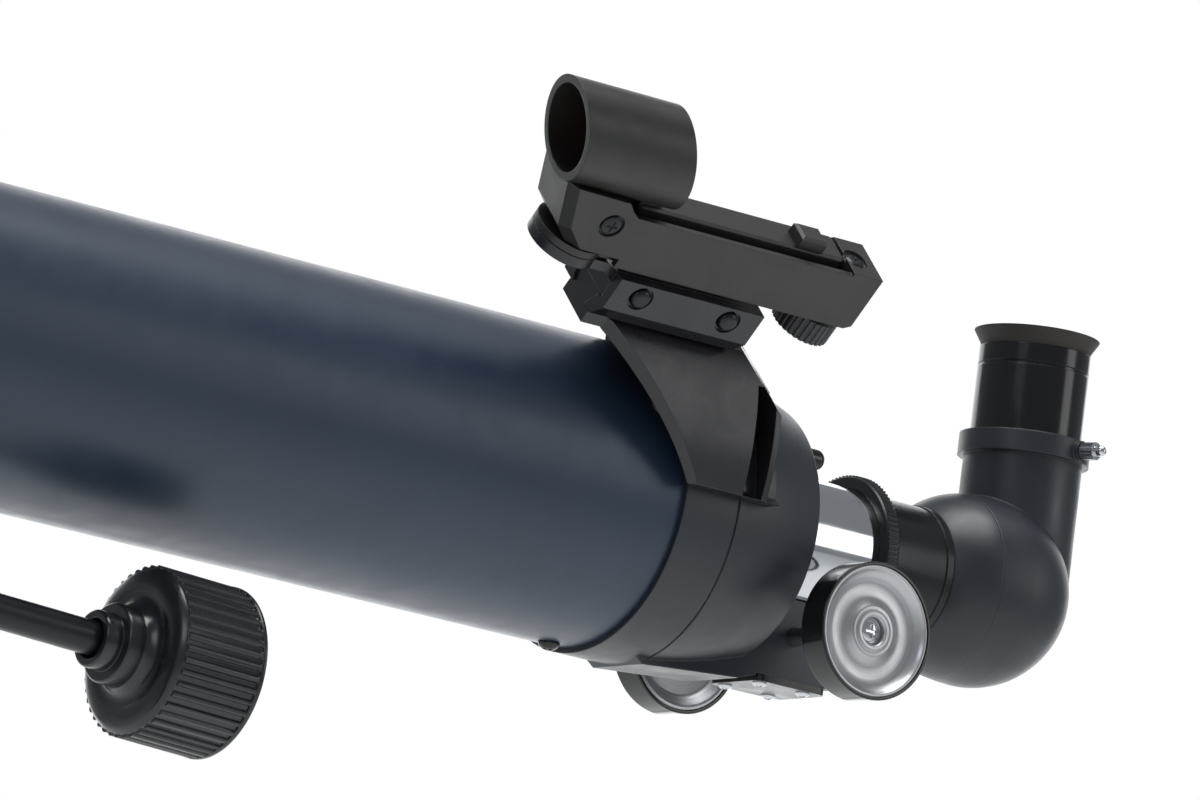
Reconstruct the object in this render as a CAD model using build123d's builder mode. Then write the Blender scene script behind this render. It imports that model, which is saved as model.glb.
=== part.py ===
from build123d import *
import os
from math import cos, pi, radians, sin, sqrt, tan

# A refractor telescope on its alt-azimuth head. Millimetres, +Z up, light travels along +X.
# The origin is the middle of the head's underside. Sizes along the optical tube are counted from
# the rear end of the main tube, positive towards the eyepiece, and radii from the optical axis.

# ---- Driving dimensions -------------------------------------------------------------------------
fit_gap = 0.05  # radial clearance of a shaft or spigot in its bore
free_gap = 0.3  # gap between pieces that move past each other

axis_height = 195.0  # underside of the head up to the optical axis
tube_rear = 400.0  # azimuth axis back to the rear end of the main tube
tube_radius = 50.0
tube_wall = 1.5
tube_length = 764.0
tube_screw_inset = 9.0
tube_screw_angles = (60, 180, 300)  # from the top towards -Y
tube_screw_radius = 1.5
tube_screw_head = 3.6

clear_radius = tube_radius - 5.0  # clear aperture of the objective
glass_radius = clear_radius + 1.0
cell_flange = 4.0  # the cell's flange over the tube's radius
cell_length = 22.0
cell_spigot = 20.0
crown_edge = 5.0
flint_edge = 8.0
lens_air_gap = 0.5
lens_bulge = 2.2
flint_rear_bulge = 0.5
retainer_length = 5.0
shade_length = 100.0
shade_wall = 2.5
shade_rim_radius = tube_radius + 9.0
shade_rim_length = 5.0
focal_length = 1000.0
baffle_stations = (-560.0, -300.0, -150.0)
baffle_thickness = 1.0
baffle_rim = 8.0

housing_radius = tube_radius + 1.7
housing_band = 21.0
housing_length = 61.2
housing_rear_radius = tube_radius - 6.8
housing_wall = 4.0
housing_rear_wall = 5.2
housing_spigot = 20.0
seam_width = 0.8
seam_depth = 0.6
sleeve_start = 10.0
sleeve_wall = 3.8

drawtube_radius = 23.2
drawtube_wall = 1.6
drawtube_front = -58.0
drawtube_rear = 108.0
drawtube_out = 75.0  # travel outwards from rest
collar_start = 102.5
collar_radius = drawtube_radius + 4.5
collar_flutes = 72

gear_module = 1.0
pinion_teeth = 10
gear_width = 8.0
shaft_station = 80.0
shaft_drop = drawtube_radius + 8.6
shaft_radius = 3.0
pinion_block_width = 26.0
pinion_block_rear = 98.0
pinion_block_depth = shaft_drop + 14.2
cover_start = 66.9
cover_end = 95.9
cover_thickness = 2.4
cover_screw_stations = (70.9, 89.0)
cover_screw_spread = 9.0
small_screw_radius = 1.25
small_screw_head = 2.4

knob_radius = 22.5
knob_rim = 1.1
knob_inner = housing_radius - 7.3
knob_outer = knob_inner + 11.1
knob_face_ring = 16.4
knob_step_ring = 7.0
knob_hole = 4.5

lock_angle = 48.0
lock_distance = housing_rear_radius - 7.2
lock_radius = 3.5
lock_length = 10.0

adapter_radius = drawtube_radius - 0.4
adapter_end = 134.4
adapter_lip = 2.7
barrel_radius = 15.875  # the 1.25 inch barrel standard
barrel_wall = 1.2
diagonal_barrel_front = 112.0
diagonal_front_radius = adapter_radius + 0.2
seam_station = 149.6
seam_radius = 30.8
ball_radius = 31.9
ball_station = 161.8
shell_wall = 2.6
eyepiece_station = 176.5
prism_half = 13.5
prism_width = 25.0
prism_cut = 7.5
socket_radius = barrel_radius + 4.025
socket_collar_radius = socket_radius + 2.1
socket_collar_start = 47.0
socket_top = 54.2
socket_screw_angle = 72.5
thumbscrew_radius = 3.0
thumbscrew_length = 7.8
socket_screw_lift = 1.2

eyepiece_body_radius = barrel_radius + 2.895
eyepiece_body_top = 84.0
eyepiece_barrel_bottom = 27.0
trim_height = 77.0
eyecup_top = 89.6
eyecup_radius = eyepiece_body_radius + 2.23
eyecup_wall = 1.5
eye_lens_radius = barrel_radius - 4.875
field_lens_radius = barrel_radius - 2.875

finder_roll = 45.0  # from the top towards -Y
sight_height = housing_radius + 79.8
sight_radius = 16.3
sight_bore = 13.7
sight_front = -95.5
sight_length = 42.8
sight_slant = 17.0
finder_half_width = 12.5
finder_bottom = housing_radius + 42.1
finder_floor = housing_radius + 57.3
finder_deck = housing_radius + 61.8
finder_crown = housing_radius + 66.7
finder_front = -90.5
finder_rear = 38.6
finder_wall = 2.2
block_top = housing_radius + 63.1
block_flat = 6.0  # how far the rear block's top stays level past the middle
rail_top = housing_radius + 63.1
rail_half_width = 6.3
rail_start = -57.5
rail_end = 26.0
light_station = 11.0
light_shift = 2.15
light_height = 4.2
pivot_station = -68.0
pivot_height = housing_radius + 56.7
nose_station = -70.7
nose_radius = 12.3
nose_disc = 2.6
tongue_thickness = 3.7
rear_screw_station = 31.2
rear_screw_shift = 3.8
screw_recess = 4.4
screw_recess_depth = 1.0
wheel_station = 31.0
wheel_radius = 10.4
wheel_flutes = 30
wheel_bottom = housing_radius + 31.6
wheel_top = housing_radius + 39.6
clamp_front = -53.4
clamp_rear = 4.5
clamp_bottom = housing_radius + 22.3
clamp_edge = housing_radius + 27.8
clamp_top = housing_radius + 39.8
clamp_plate_outer = 14.5
clamp_plate_inner = 10.4
clamp_bolt_stations = (-42.6, -7.1)
clamp_bolt_height = housing_radius + 34.5
rail_foot_half = 5.5
rail_head_half = 8.6
rail_bottom = housing_radius + 16.8
rail_neck = rail_bottom + 6.0
platform_top = rail_bottom + 4.5
rail_head = housing_radius + 29.3
bracket_reach = 45.0  # half angle of the bracket's saddle
bracket_skin = 2.8
bracket_front = 1.5
flange_front = -1.5
flange_lip = 6.0
flange_slots = 8
web_front = -44.0
bracket_end = 33.5
bracket_rib_stations = (16.0, 26.0, 33.2)
bracket_rib = 2.2

bar_width = 43.0
bar_top_width = 36.0
bar_height = 16.0
bar_length = 160.0
bar_screw_station = 60.0
saddle_length = 76.0
saddle_width = 64.0
saddle_lip = 10.0
altitude_height = 95.0
altitude_bolt_radius = 5.0
tongue_half = 16.7
ear_thickness = 6.0
ear_radius = 16.0
base_radius = 38.0
base_height = 14.0
spindle_radius = 12.0
turret_radius = 36.0
turret_top = 40.0
socket_thread_radius = 4.76  # 3/8 inch tripod thread
socket_thread_depth = 12.0
lock_knob_height = 27.0
side_knob_radius = 10.0

handle_side = -36.0
handle_root_height = 114.26
handle_tilt = 2.5
handle_radius = 5.5
handle_boss_radius = 9.0
handle_boss_end = 44.0
handle_knob_start = 208.0
handle_knob_end = 238.2
handle_knob_radius = 27.6
handle_flutes = 26
handle_nose = 18.0

# ---- Worked-out sizes ---------------------------------------------------------------------------
tube_inner = tube_radius - tube_wall
spigot_radius = tube_inner - fit_gap
pitch_radius = gear_module * pinion_teeth / 2
pitch_drop = shaft_drop - pitch_radius
socket_bore = barrel_radius + fit_gap
bar_top = axis_height - tube_radius
bar_bottom = bar_top - bar_height
side_clearance = 0.4

# ---- Frames -------------------------------------------------------------------------------------
tube_end = Vector(tube_rear, 0, axis_height)
optical_axis = Axis(tube_end, (1, 0, 0))
along_tube = Plane(origin=tube_end, x_dir=(1, 0, 0), z_dir=(0, -1, 0))
roll_up = Vector(0, -sin(radians(finder_roll)), cos(radians(finder_roll)))
roll_away = Vector(0, cos(radians(finder_roll)), sin(radians(finder_roll)))


def across_tube(station):
    """Plane across the optical axis: local x is +Y, local y is up."""
    return Plane(origin=tube_end + Vector(station, 0, 0), x_dir=(0, 1, 0), z_dir=(1, 0, 0))


def radial_plane(station, angle, radius):
    """Plane square to a radius of the tube, at an angle from the top towards -Y."""
    out = Vector(0, -sin(radians(angle)), cos(radians(angle)))
    return Plane(origin=tube_end + Vector(station, 0, 0) + out * radius, x_dir=(1, 0, 0), z_dir=out)


def across_finder(station):
    """Plane across the rolled finder: local x points away from the near side, local y up."""
    return Plane(origin=tube_end + Vector(station, 0, 0), x_dir=roll_away, z_dir=(1, 0, 0))


def finder_level(height):
    """Plane at a height above the optical axis in the rolled finder: local x along the tube."""
    return Plane(origin=tube_end + roll_up * height, x_dir=(1, 0, 0), z_dir=roll_up)


def finder_side(away):
    """Plane along the rolled finder: local x along the tube, local y up, normal to the near side."""
    return Plane(origin=tube_end + roll_away * away, x_dir=(1, 0, 0), z_dir=roll_away * -1)


# ---- Shared shapes ------------------------------------------------------------------------------
def band(start, end, inner, outer, mode=Mode.ADD):
    """Rectangle in the open sketch between two stations and two radii."""
    with Locations(((start + end) / 2, (inner + outer) / 2)):
        Rectangle(end - start, outer - inner, mode=mode)


def fluted_disc(radius, flutes, flute_radius):
    """Disc in the open sketch with round flutes cut in its rim."""
    Circle(radius)
    with PolarLocations(radius, flutes):
        Circle(flute_radius, mode=Mode.SUBTRACT)


def domed_screw(seat, head_radius, head_height, shank_radius, shank_length):
    """Screw with a domed head on the seat plane and its shank below it."""
    with BuildPart() as screw:
        with BuildSketch(seat):
            Circle(head_radius)
        extrude(amount=head_height)
        fillet(screw.edges().sort_by(Axis(seat.origin, seat.z_dir))[-1], head_height * 0.8)
        with BuildSketch(seat):
            Circle(shank_radius)
        extrude(amount=-shank_length)
    return screw.part


def ball_thumbscrew(seat, stem_length):
    """Thumbscrew with a fluted grip and a ball end, standing on the seat plane, stem below it."""
    with BuildPart() as thumbscrew:
        with BuildSketch(seat.offset(free_gap)):
            fluted_disc(thumbscrew_radius, 16, 0.3)
        extrude(amount=thumbscrew_length - 2.6)
        with BuildSketch(seat.offset(free_gap)):
            Circle(thumbscrew_radius * 0.6)
        extrude(amount=thumbscrew_length - 0.8)
        with Locations(seat.offset(free_gap + thumbscrew_length - 0.8)):
            Sphere(thumbscrew_radius * 0.62)
        with BuildSketch(seat.offset(free_gap)):
            Circle(small_screw_radius)
        extrude(amount=-stem_length - free_gap)
    return thumbscrew.part


def turned_lens(section, axis, start, end, radius, curved_radius, start_bulge, end_bulge):
    """Lens turned about an axis, its faces curved inside curved_radius, bulging outwards if positive."""
    with BuildPart() as lens:
        with BuildSketch(section):
            with BuildLine():
                Polyline((end, curved_radius), (end, radius), (start, radius), (start, curved_radius))
                ThreePointArc((start, curved_radius), (start - start_bulge, 0), (start, -curved_radius))
                Polyline((start, -curved_radius), (start, -radius), (end, -radius), (end, -curved_radius))
                ThreePointArc((end, -curved_radius), (end + end_bulge, 0), (end, curved_radius))
            make_face()
            with Locations(((start + end) / 2, -radius)):
                Rectangle(4 * (end - start), 2 * radius, mode=Mode.SUBTRACT)
        revolve(axis=axis)
    return lens.part


# ---- Main tube, dew shield and objective --------------------------------------------------------
with BuildPart() as main_tube:
    with BuildSketch(along_tube):
        band(-tube_length, 0, tube_inner, tube_radius)
    revolve(axis=optical_axis)
    for station in (-tube_screw_inset, tube_screw_inset - tube_length):
        for angle in tube_screw_angles:
            with BuildSketch(radial_plane(station, angle, tube_radius + 1)):
                Circle(tube_screw_radius + fit_gap)
            extrude(amount=-tube_wall - 3, mode=Mode.SUBTRACT)
    for station in (-bar_screw_station, bar_screw_station):
        with BuildSketch(Plane.XY.offset(bar_top - 1)):
            with Locations((station, 0)):
                Circle(shaft_radius + fit_gap)
        extrude(amount=tube_wall + 3, mode=Mode.SUBTRACT)

cell_front = -tube_length - cell_length
lens_seat = -tube_length - 2.0
flint_front = lens_seat - flint_edge
crown_rear = flint_front - lens_air_gap
crown_front = crown_rear - crown_edge
flange_radius = tube_radius + cell_flange

with BuildPart() as objective_cell:
    with BuildSketch(along_tube):
        band(cell_front, -tube_length, glass_radius + fit_gap, flange_radius)
        band(lens_seat, -tube_length + cell_spigot, clear_radius, spigot_radius)
    revolve(axis=optical_axis)
    for angle in tube_screw_angles:
        with BuildSketch(radial_plane(tube_screw_inset - tube_length, angle, tube_radius)):
            Circle(tube_screw_radius + fit_gap)
        extrude(amount=-6, mode=Mode.SUBTRACT)

flint_lens = turned_lens(
    along_tube, optical_axis, flint_front, lens_seat, glass_radius, clear_radius, -lens_bulge, flint_rear_bulge
)
crown_lens = turned_lens(
    along_tube, optical_axis, crown_front, crown_rear, glass_radius, clear_radius, lens_bulge, lens_bulge
)

with BuildPart() as lens_spacer:
    with BuildSketch(along_tube):
        band(crown_rear, flint_front, clear_radius, glass_radius)
    revolve(axis=optical_axis)

with BuildPart() as lens_retaining_ring:
    with BuildSketch(along_tube):
        band(crown_front - retainer_length, crown_front, clear_radius, glass_radius)
    revolve(axis=optical_axis)

shade_front = -tube_length - shade_length
with BuildPart() as dew_shield:
    with BuildSketch(along_tube):
        band(shade_front, -tube_length, flange_radius + fit_gap, flange_radius + shade_wall)
        band(shade_front, shade_front + shade_rim_length, flange_radius + fit_gap, shade_rim_radius)
    revolve(axis=optical_axis)
    fillet(dew_shield.edges().group_by(Axis.X)[0].sort_by(SortBy.RADIUS)[-1], 1.5)

with BuildPart() as light_baffles:
    with BuildSketch(along_tube):
        for station in baffle_stations:
            cone_radius = clear_radius * (focal_length - tube_length - station) / focal_length
            band(station, station + baffle_thickness, cone_radius + 2, spigot_radius)
            band(station, station + baffle_rim, spigot_radius - baffle_thickness, spigot_radius)
    revolve(axis=optical_axis)

with BuildPart() as tube_screws:
    for station in (-tube_screw_inset, tube_screw_inset - tube_length):
        for angle in tube_screw_angles:
            seat = radial_plane(station, angle, tube_radius)
            add(domed_screw(seat, tube_screw_head, 2.6, tube_screw_radius, tube_wall + 3))

# ---- Focuser housing ----------------------------------------------------------------------------
taper_start = housing_band + seam_width
taper_middle = (taper_start + housing_length) / 2
taper_bulge = 1.1
housing_inner = housing_radius - housing_wall
sleeve_radius = drawtube_radius + fit_gap + sleeve_wall
rack_slot_half = gear_width / 2 + side_clearance
rack_tip = pitch_drop + 0.9 * gear_module
rack_root = pitch_drop - 1.1 * gear_module
rack_slot_top = drawtube_radius - 3.2

with BuildPart() as focuser_housing:
    with BuildSketch(along_tube):
        with BuildLine():
            Polyline(
                (-housing_spigot, spigot_radius),
                (0, spigot_radius),
                (0, housing_radius),
                (housing_band, housing_radius),
                (housing_band, housing_radius - seam_depth),
                (taper_start, housing_radius - seam_depth),
                (taper_start, housing_radius),
            )
            ThreePointArc(
                (taper_start, housing_radius),
                (taper_middle, (housing_radius + housing_rear_radius) / 2 + taper_bulge),
                (housing_length, housing_rear_radius),
            )
            Polyline(
                (housing_length, housing_rear_radius),
                (housing_length, drawtube_radius + fit_gap),
                (sleeve_start, drawtube_radius + fit_gap),
                (sleeve_start, sleeve_radius),
                (housing_length - housing_rear_wall, sleeve_radius),
                (housing_length - housing_rear_wall, housing_rear_radius - housing_wall),
                (taper_start, housing_inner),
                (0, spigot_radius - 3),
                (-housing_spigot, spigot_radius - 3),
                (-housing_spigot, spigot_radius),
            )
        make_face()
    revolve(axis=optical_axis)
    fillet(focuser_housing.edges().group_by(Axis.X)[-1].sort_by(SortBy.RADIUS)[-1], 1.6)
    with BuildSketch(along_tube):
        with BuildLine():
            Polyline(
                (housing_band - 5, -housing_radius + 2),
                (housing_band - 1.4, -housing_radius - 0.5),
                (housing_length - 2.2, -pinion_block_depth - 3.2),
                (cover_start - 1, -pinion_block_depth - 1),
                (cover_start - 1, -pinion_block_depth),
                (pinion_block_rear, -pinion_block_depth),
                (pinion_block_rear, -15),
                (housing_length - 2, -15),
                (housing_length - housing_rear_wall, -housing_rear_radius + 3.2),
                (taper_start + 8, -housing_radius + 4.7),
                close=True,
            )
        make_face()
    extrude(amount=pinion_block_width / 2, both=True)
    with BuildSketch(across_tube(sleeve_start)):
        Circle(drawtube_radius + fit_gap)
    extrude(amount=housing_length - sleeve_start, mode=Mode.SUBTRACT)
    with BuildSketch(across_tube(housing_length)):
        Circle(drawtube_radius + free_gap)
    extrude(amount=pinion_block_rear, mode=Mode.SUBTRACT)
    with BuildSketch(across_tube(sleeve_start - 1)):
        with Locations((0, -(rack_tip + 0.5 + rack_slot_top) / 2)):
            Rectangle(2 * rack_slot_half, rack_tip + 0.5 - rack_slot_top)
    extrude(amount=pinion_block_rear, mode=Mode.SUBTRACT)
    with BuildSketch(along_tube):
        with Locations((shaft_station, -shaft_drop)):
            Circle(pitch_radius + 1.4 * gear_module)
    extrude(amount=gear_width / 2 + 1, both=True, mode=Mode.SUBTRACT)
    with BuildSketch(along_tube):
        with Locations((shaft_station, -shaft_drop)):
            Circle(shaft_radius + fit_gap)
    extrude(amount=pinion_block_width, both=True, mode=Mode.SUBTRACT)
    with BuildSketch(across_tube(housing_length)):
        with PolarLocations(lock_distance, 1, start_angle=90 + lock_angle):
            Circle(small_screw_radius + fit_gap)
    extrude(amount=-housing_rear_wall, mode=Mode.SUBTRACT)
    with BuildSketch(Plane.XY.offset(axis_height - pinion_block_depth)):
        for station in cover_screw_stations:
            with Locations(
                (tube_rear + station, -cover_screw_spread), (tube_rear + station, cover_screw_spread)
            ):
                Circle(small_screw_radius + fit_gap)
    extrude(amount=6, mode=Mode.SUBTRACT)
    for angle in tube_screw_angles:
        with BuildSketch(radial_plane(-tube_screw_inset, angle, tube_radius)):
            Circle(tube_screw_radius + fit_gap)
        extrude(amount=-7, mode=Mode.SUBTRACT)

cover_level = axis_height - pinion_block_depth - cover_thickness
with BuildPart() as saddle_cover:
    with BuildSketch(Plane.XY.offset(cover_level)):
        with Locations((tube_rear + (cover_start + cover_end) / 2, 0)):
            RectangleRounded(cover_end - cover_start, pinion_block_width, 3)
        for station in cover_screw_stations:
            with Locations(
                (tube_rear + station, -cover_screw_spread), (tube_rear + station, cover_screw_spread)
            ):
                Circle(small_screw_radius + fit_gap, mode=Mode.SUBTRACT)
    extrude(amount=cover_thickness)

with BuildPart() as saddle_screws:
    for station in cover_screw_stations:
        for side in (-cover_screw_spread, cover_screw_spread):
            seat = Plane(origin=(tube_rear + station, side, cover_level), z_dir=(0, 0, -1))
            add(domed_screw(seat, small_screw_head, 1.4, small_screw_radius, cover_thickness + 5))

with BuildPart() as focus_lock_screw:
    lock_seat = across_tube(housing_length + free_gap)
    with BuildSketch(lock_seat):
        with PolarLocations(lock_distance, 1, start_angle=90 + lock_angle):
            Circle(lock_radius)
    extrude(amount=lock_length)
    fillet(focus_lock_screw.edges().sort_by(Axis.X)[-1], lock_radius * 0.8)
    with BuildSketch(lock_seat):
        with PolarLocations(lock_distance, 1, start_angle=90 + lock_angle):
            Circle(small_screw_radius)
    extrude(amount=-housing_rear_wall - free_gap)

# ---- Drawtube, rack and pinion ------------------------------------------------------------------
with BuildPart() as drawtube:
    with BuildSketch(along_tube):
        band(drawtube_front, drawtube_rear, drawtube_radius - drawtube_wall, drawtube_radius)
    revolve(axis=optical_axis)

rack_start = shaft_station - drawtube_out - 2 * gear_width
rack_end = collar_start
rack_pitch = pi * gear_module
tooth_half = 0.185 * rack_pitch
tooth_lean = tan(radians(20)) * gear_module
teeth_before = int((shaft_station - rack_start) / rack_pitch - 0.5)
teeth_after = int((rack_end - shaft_station) / rack_pitch - 0.5)

with BuildPart() as drawtube_rack:
    with BuildSketch(along_tube):
        band(rack_start, rack_end, -rack_root, 2 - drawtube_radius)
        for tooth in range(-teeth_before, teeth_after + 1):
            middle = shaft_station + tooth * rack_pitch
            with BuildLine():
                Polyline(
                    (middle - tooth_half - tooth_lean, -rack_root + 0.1),
                    (middle - tooth_half + 0.7 * tooth_lean, -rack_tip),
                    (middle + tooth_half - 0.7 * tooth_lean, -rack_tip),
                    (middle + tooth_half + tooth_lean, -rack_root + 0.1),
                    close=True,
                )
            make_face()
    extrude(amount=gear_width / 2, both=True)
    with BuildSketch(across_tube(rack_start)):
        Circle(drawtube_radius)
    extrude(amount=rack_end - rack_start, mode=Mode.SUBTRACT)

pinion_root = pitch_radius - 1.15 * gear_module
pinion_tip = pitch_radius + 0.85 * gear_module
with BuildPart() as pinion_shaft:
    with BuildSketch(along_tube):
        with Locations((shaft_station, -shaft_drop)):
            Circle(shaft_radius)
    extrude(amount=knob_outer - 4, both=True)
    with BuildSketch(along_tube):
        with Locations((shaft_station, -shaft_drop)):
            Circle(pinion_root)
            with PolarLocations(0, pinion_teeth, start_angle=90 + 180 / pinion_teeth):
                Polygon(
                    (pinion_root - 0.3, -1.02 * gear_module),
                    (pitch_radius, -0.64 * gear_module),
                    (pinion_tip, -0.26 * gear_module),
                    (pinion_tip, 0.26 * gear_module),
                    (pitch_radius, 0.64 * gear_module),
                    (pinion_root - 0.3, 1.02 * gear_module),
                    align=None,
                )
    extrude(amount=gear_width / 2, both=True)

with BuildPart() as drawtube_collar:
    with BuildSketch(across_tube(collar_start)):
        fluted_disc(collar_radius, collar_flutes, 0.5)
        Circle(drawtube_radius, mode=Mode.SUBTRACT)
    extrude(amount=drawtube_rear - collar_start)

adapter_spigot = drawtube_radius - drawtube_wall - fit_gap
with BuildPart() as adapter_tube:
    with BuildSketch(along_tube):
        band(drawtube_rear - 12, drawtube_rear, socket_bore, adapter_spigot)
        band(drawtube_rear, adapter_end, socket_bore, adapter_radius)
        band(adapter_end - adapter_lip, adapter_end, socket_bore, adapter_radius + 0.4)
    revolve(axis=optical_axis)
    adapter_seat = radial_plane((drawtube_rear + adapter_end) / 2, -90, adapter_radius)
    with BuildSketch(adapter_seat):
        Circle(small_screw_radius + fit_gap)
    extrude(amount=-adapter_radius + socket_bore - 1, mode=Mode.SUBTRACT)

adapter_thumbscrew = ball_thumbscrew(adapter_seat, adapter_radius - socket_bore - free_gap)

# ---- Focus knobs --------------------------------------------------------------------------------
knob_axis = Axis((tube_rear + shaft_station, 0, axis_height - shaft_drop), (0, 1, 0))
knob_section = Plane(origin=knob_axis.position, x_dir=(1, 0, 0), z_dir=(0, 0, 1))
face_radius = knob_radius - knob_rim
knob_parts = {}
for side_name, side in (("left", -1), ("right", 1)):
    with BuildPart() as focus_rim:
        with BuildSketch(knob_section):
            with Locations(((face_radius + knob_radius) / 2, side * (knob_inner + knob_outer) / 2)):
                Rectangle(knob_rim, knob_outer - knob_inner)
        revolve(axis=knob_axis)
        fillet(focus_rim.edges().filter_by(GeomType.CIRCLE).sort_by(SortBy.RADIUS)[-2:], 0.5)
    with BuildPart() as focus_face:
        with BuildSketch(knob_section):
            with BuildLine():
                Polyline(
                    (shaft_radius + 0.01, side * (knob_inner + 4)),
                    (knob_step_ring, side * (knob_inner + 4)),
                    (knob_face_ring, side * (knob_inner + 3)),
                    (face_radius - 1.5, side * (knob_inner + 0.4)),
                    (face_radius, side * (knob_inner + 0.4)),
                    (face_radius, side * (knob_outer - 0.4)),
                    (face_radius - 1.2, side * (knob_outer - 0.4)),
                    (knob_face_ring + 1.2, side * (knob_outer - 2.6)),
                    (knob_face_ring, side * (knob_outer - 2.6)),
                    (knob_step_ring + 1, side * (knob_outer - 2.2)),
                    (knob_step_ring, side * (knob_outer - 1.6)),
                    (knob_hole, side * (knob_outer - 1.6)),
                    (knob_hole, side * (knob_outer - 4)),
                    (shaft_radius + 0.01, side * (knob_outer - 4)),
                    close=True,
                )
            make_face()
        revolve(axis=knob_axis)
    knob_parts[side_name + "_focus_rim"] = focus_rim.part
    knob_parts[side_name + "_focus_face"] = focus_face.part

with BuildPart() as focus_knob_screws:
    for side in (-1, 1):
        seat = Plane(origin=knob_axis.position + Vector(0, side * (knob_outer - 4), 0), z_dir=(0, side, 0))
        with BuildSketch(seat):
            Circle(knob_hole - 0.5)
        extrude(amount=1.6)

# ---- Star diagonal ------------------------------------------------------------------------------
diagonal_front = adapter_end + free_gap
with BuildPart() as diagonal_barrel:
    with BuildSketch(along_tube):
        band(diagonal_barrel_front, diagonal_front + 6, barrel_radius - barrel_wall, barrel_radius)
    revolve(axis=optical_axis)

with BuildPart() as diagonal_front_shell:
    with BuildSketch(along_tube):
        with BuildLine():
            Polyline((diagonal_front, barrel_radius), (diagonal_front, diagonal_front_radius))
            ThreePointArc(
                (diagonal_front, diagonal_front_radius),
                ((diagonal_front + seam_station) / 2 - 1, (diagonal_front_radius + seam_radius) / 2 + 1),
                (seam_station, seam_radius),
            )
            Polyline(
                (seam_station, seam_radius),
                (seam_station, seam_radius - shell_wall),
                (diagonal_front + 6, diagonal_front_radius - 1),
                (diagonal_front + 6, barrel_radius),
                (diagonal_front, barrel_radius),
            )
        make_face()
    revolve(axis=optical_axis)

eyepiece_axis = Axis((tube_rear + eyepiece_station, 0, axis_height), (0, 0, 1))
eyepiece_foot = Plane(origin=eyepiece_axis.position)
eyepiece_section = Plane(origin=eyepiece_axis.position, x_dir=(1, 0, 0), z_dir=(0, -1, 0))
mirror_plane = Plane(origin=eyepiece_axis.position, x_dir=(0, 1, 0), z_dir=(-1, 0, 1))
ball_end = ball_station + ball_radius
quarter = sqrt(0.5)

with BuildPart() as diagonal_cavity:
    with BuildSketch(along_tube):
        inner = ball_radius - shell_wall
        with BuildLine():
            Polyline((seam_station, 0), (seam_station, seam_radius - shell_wall), (ball_station, inner))
            ThreePointArc(
                (ball_station, inner),
                (ball_station + quarter * inner, quarter * inner),
                (ball_station + inner, 0),
            )
            Line((ball_station + inner, 0), (seam_station, 0))
        make_face()
    revolve(axis=optical_axis)
    split(bisect_by=mirror_plane, keep=Keep.TOP)

with BuildPart() as diagonal_rear_shell:
    with BuildSketch(along_tube):
        with BuildLine():
            Line((seam_station, 0), (seam_station, seam_radius))
            ThreePointArc(
                (seam_station, seam_radius),
                ((seam_station + ball_station) / 2, (seam_radius + ball_radius) / 2 + 0.2),
                (ball_station, ball_radius),
            )
            ThreePointArc(
                (ball_station, ball_radius),
                (ball_station + quarter * ball_radius, quarter * ball_radius),
                (ball_end, 0),
            )
            Line((ball_end, 0), (seam_station, 0))
        make_face()
    revolve(axis=optical_axis)
    with BuildSketch(eyepiece_foot):
        Circle(socket_radius)
    extrude(amount=socket_top)
    with BuildSketch(eyepiece_foot.offset(socket_collar_start)):
        Circle(socket_collar_radius)
    extrude(amount=socket_top - socket_collar_start)
    screw_out = Vector(cos(radians(socket_screw_angle)), -sin(radians(socket_screw_angle)), 0)
    screw_level = Vector(0, 0, (socket_collar_start + socket_top) / 2)
    screw_seat = Plane(
        origin=eyepiece_axis.position + screw_level + screw_out * (socket_collar_radius + socket_screw_lift),
        x_dir=(0, 0, 1),
        z_dir=screw_out,
    )
    with BuildSketch(screw_seat):
        Circle(thumbscrew_radius + 0.4)
    extrude(amount=-5)
    add(diagonal_cavity.part, mode=Mode.SUBTRACT)
    with BuildSketch(eyepiece_foot.offset(prism_half)):
        Circle(socket_bore)
    extrude(amount=socket_top, mode=Mode.SUBTRACT)
    with BuildSketch(screw_seat):
        Circle(small_screw_radius + fit_gap)
    extrude(amount=-8, mode=Mode.SUBTRACT)

with BuildPart() as diagonal_prism:
    with BuildSketch(eyepiece_section):
        with BuildLine():
            Polyline(
                (-prism_half, -prism_cut),
                (-prism_half, prism_half),
                (prism_cut, prism_half),
                (prism_cut, prism_cut),
                (-prism_cut, -prism_cut),
                close=True,
            )
        make_face()
    extrude(amount=prism_width / 2, both=True)

eyepiece_thumbscrew = ball_thumbscrew(
    screw_seat, socket_collar_radius + socket_screw_lift - socket_bore - free_gap
)

# ---- Eyepiece -----------------------------------------------------------------------------------
shoulder = socket_top + free_gap
neck_radius = eyepiece_body_radius - 1.8
neck_top = eyepiece_body_top + 2.5

with BuildPart() as eyepiece_barrel:
    with BuildSketch(eyepiece_section):
        with Locations((barrel_radius - barrel_wall / 2, (eyepiece_barrel_bottom + shoulder + 5) / 2)):
            Rectangle(barrel_wall, shoulder + 5 - eyepiece_barrel_bottom)
    revolve(axis=eyepiece_axis)

with BuildPart() as eyepiece_body:
    with BuildSketch(eyepiece_section):
        with BuildLine():
            Polyline(
                (barrel_radius, shoulder),
                (eyepiece_body_radius, shoulder),
                (eyepiece_body_radius, trim_height),
                (eyepiece_body_radius - 0.5, trim_height),
                (eyepiece_body_radius - 0.5, trim_height + 1),
                (eyepiece_body_radius, trim_height + 1),
                (eyepiece_body_radius, eyepiece_body_top),
                (neck_radius, eyepiece_body_top),
                (neck_radius, neck_top),
                (eye_lens_radius, neck_top),
                (eye_lens_radius, shoulder + 12),
                (field_lens_radius, shoulder + 12),
                (field_lens_radius, shoulder + 5),
                (barrel_radius, shoulder + 5),
                close=True,
            )
        make_face()
    revolve(axis=eyepiece_axis)


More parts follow.
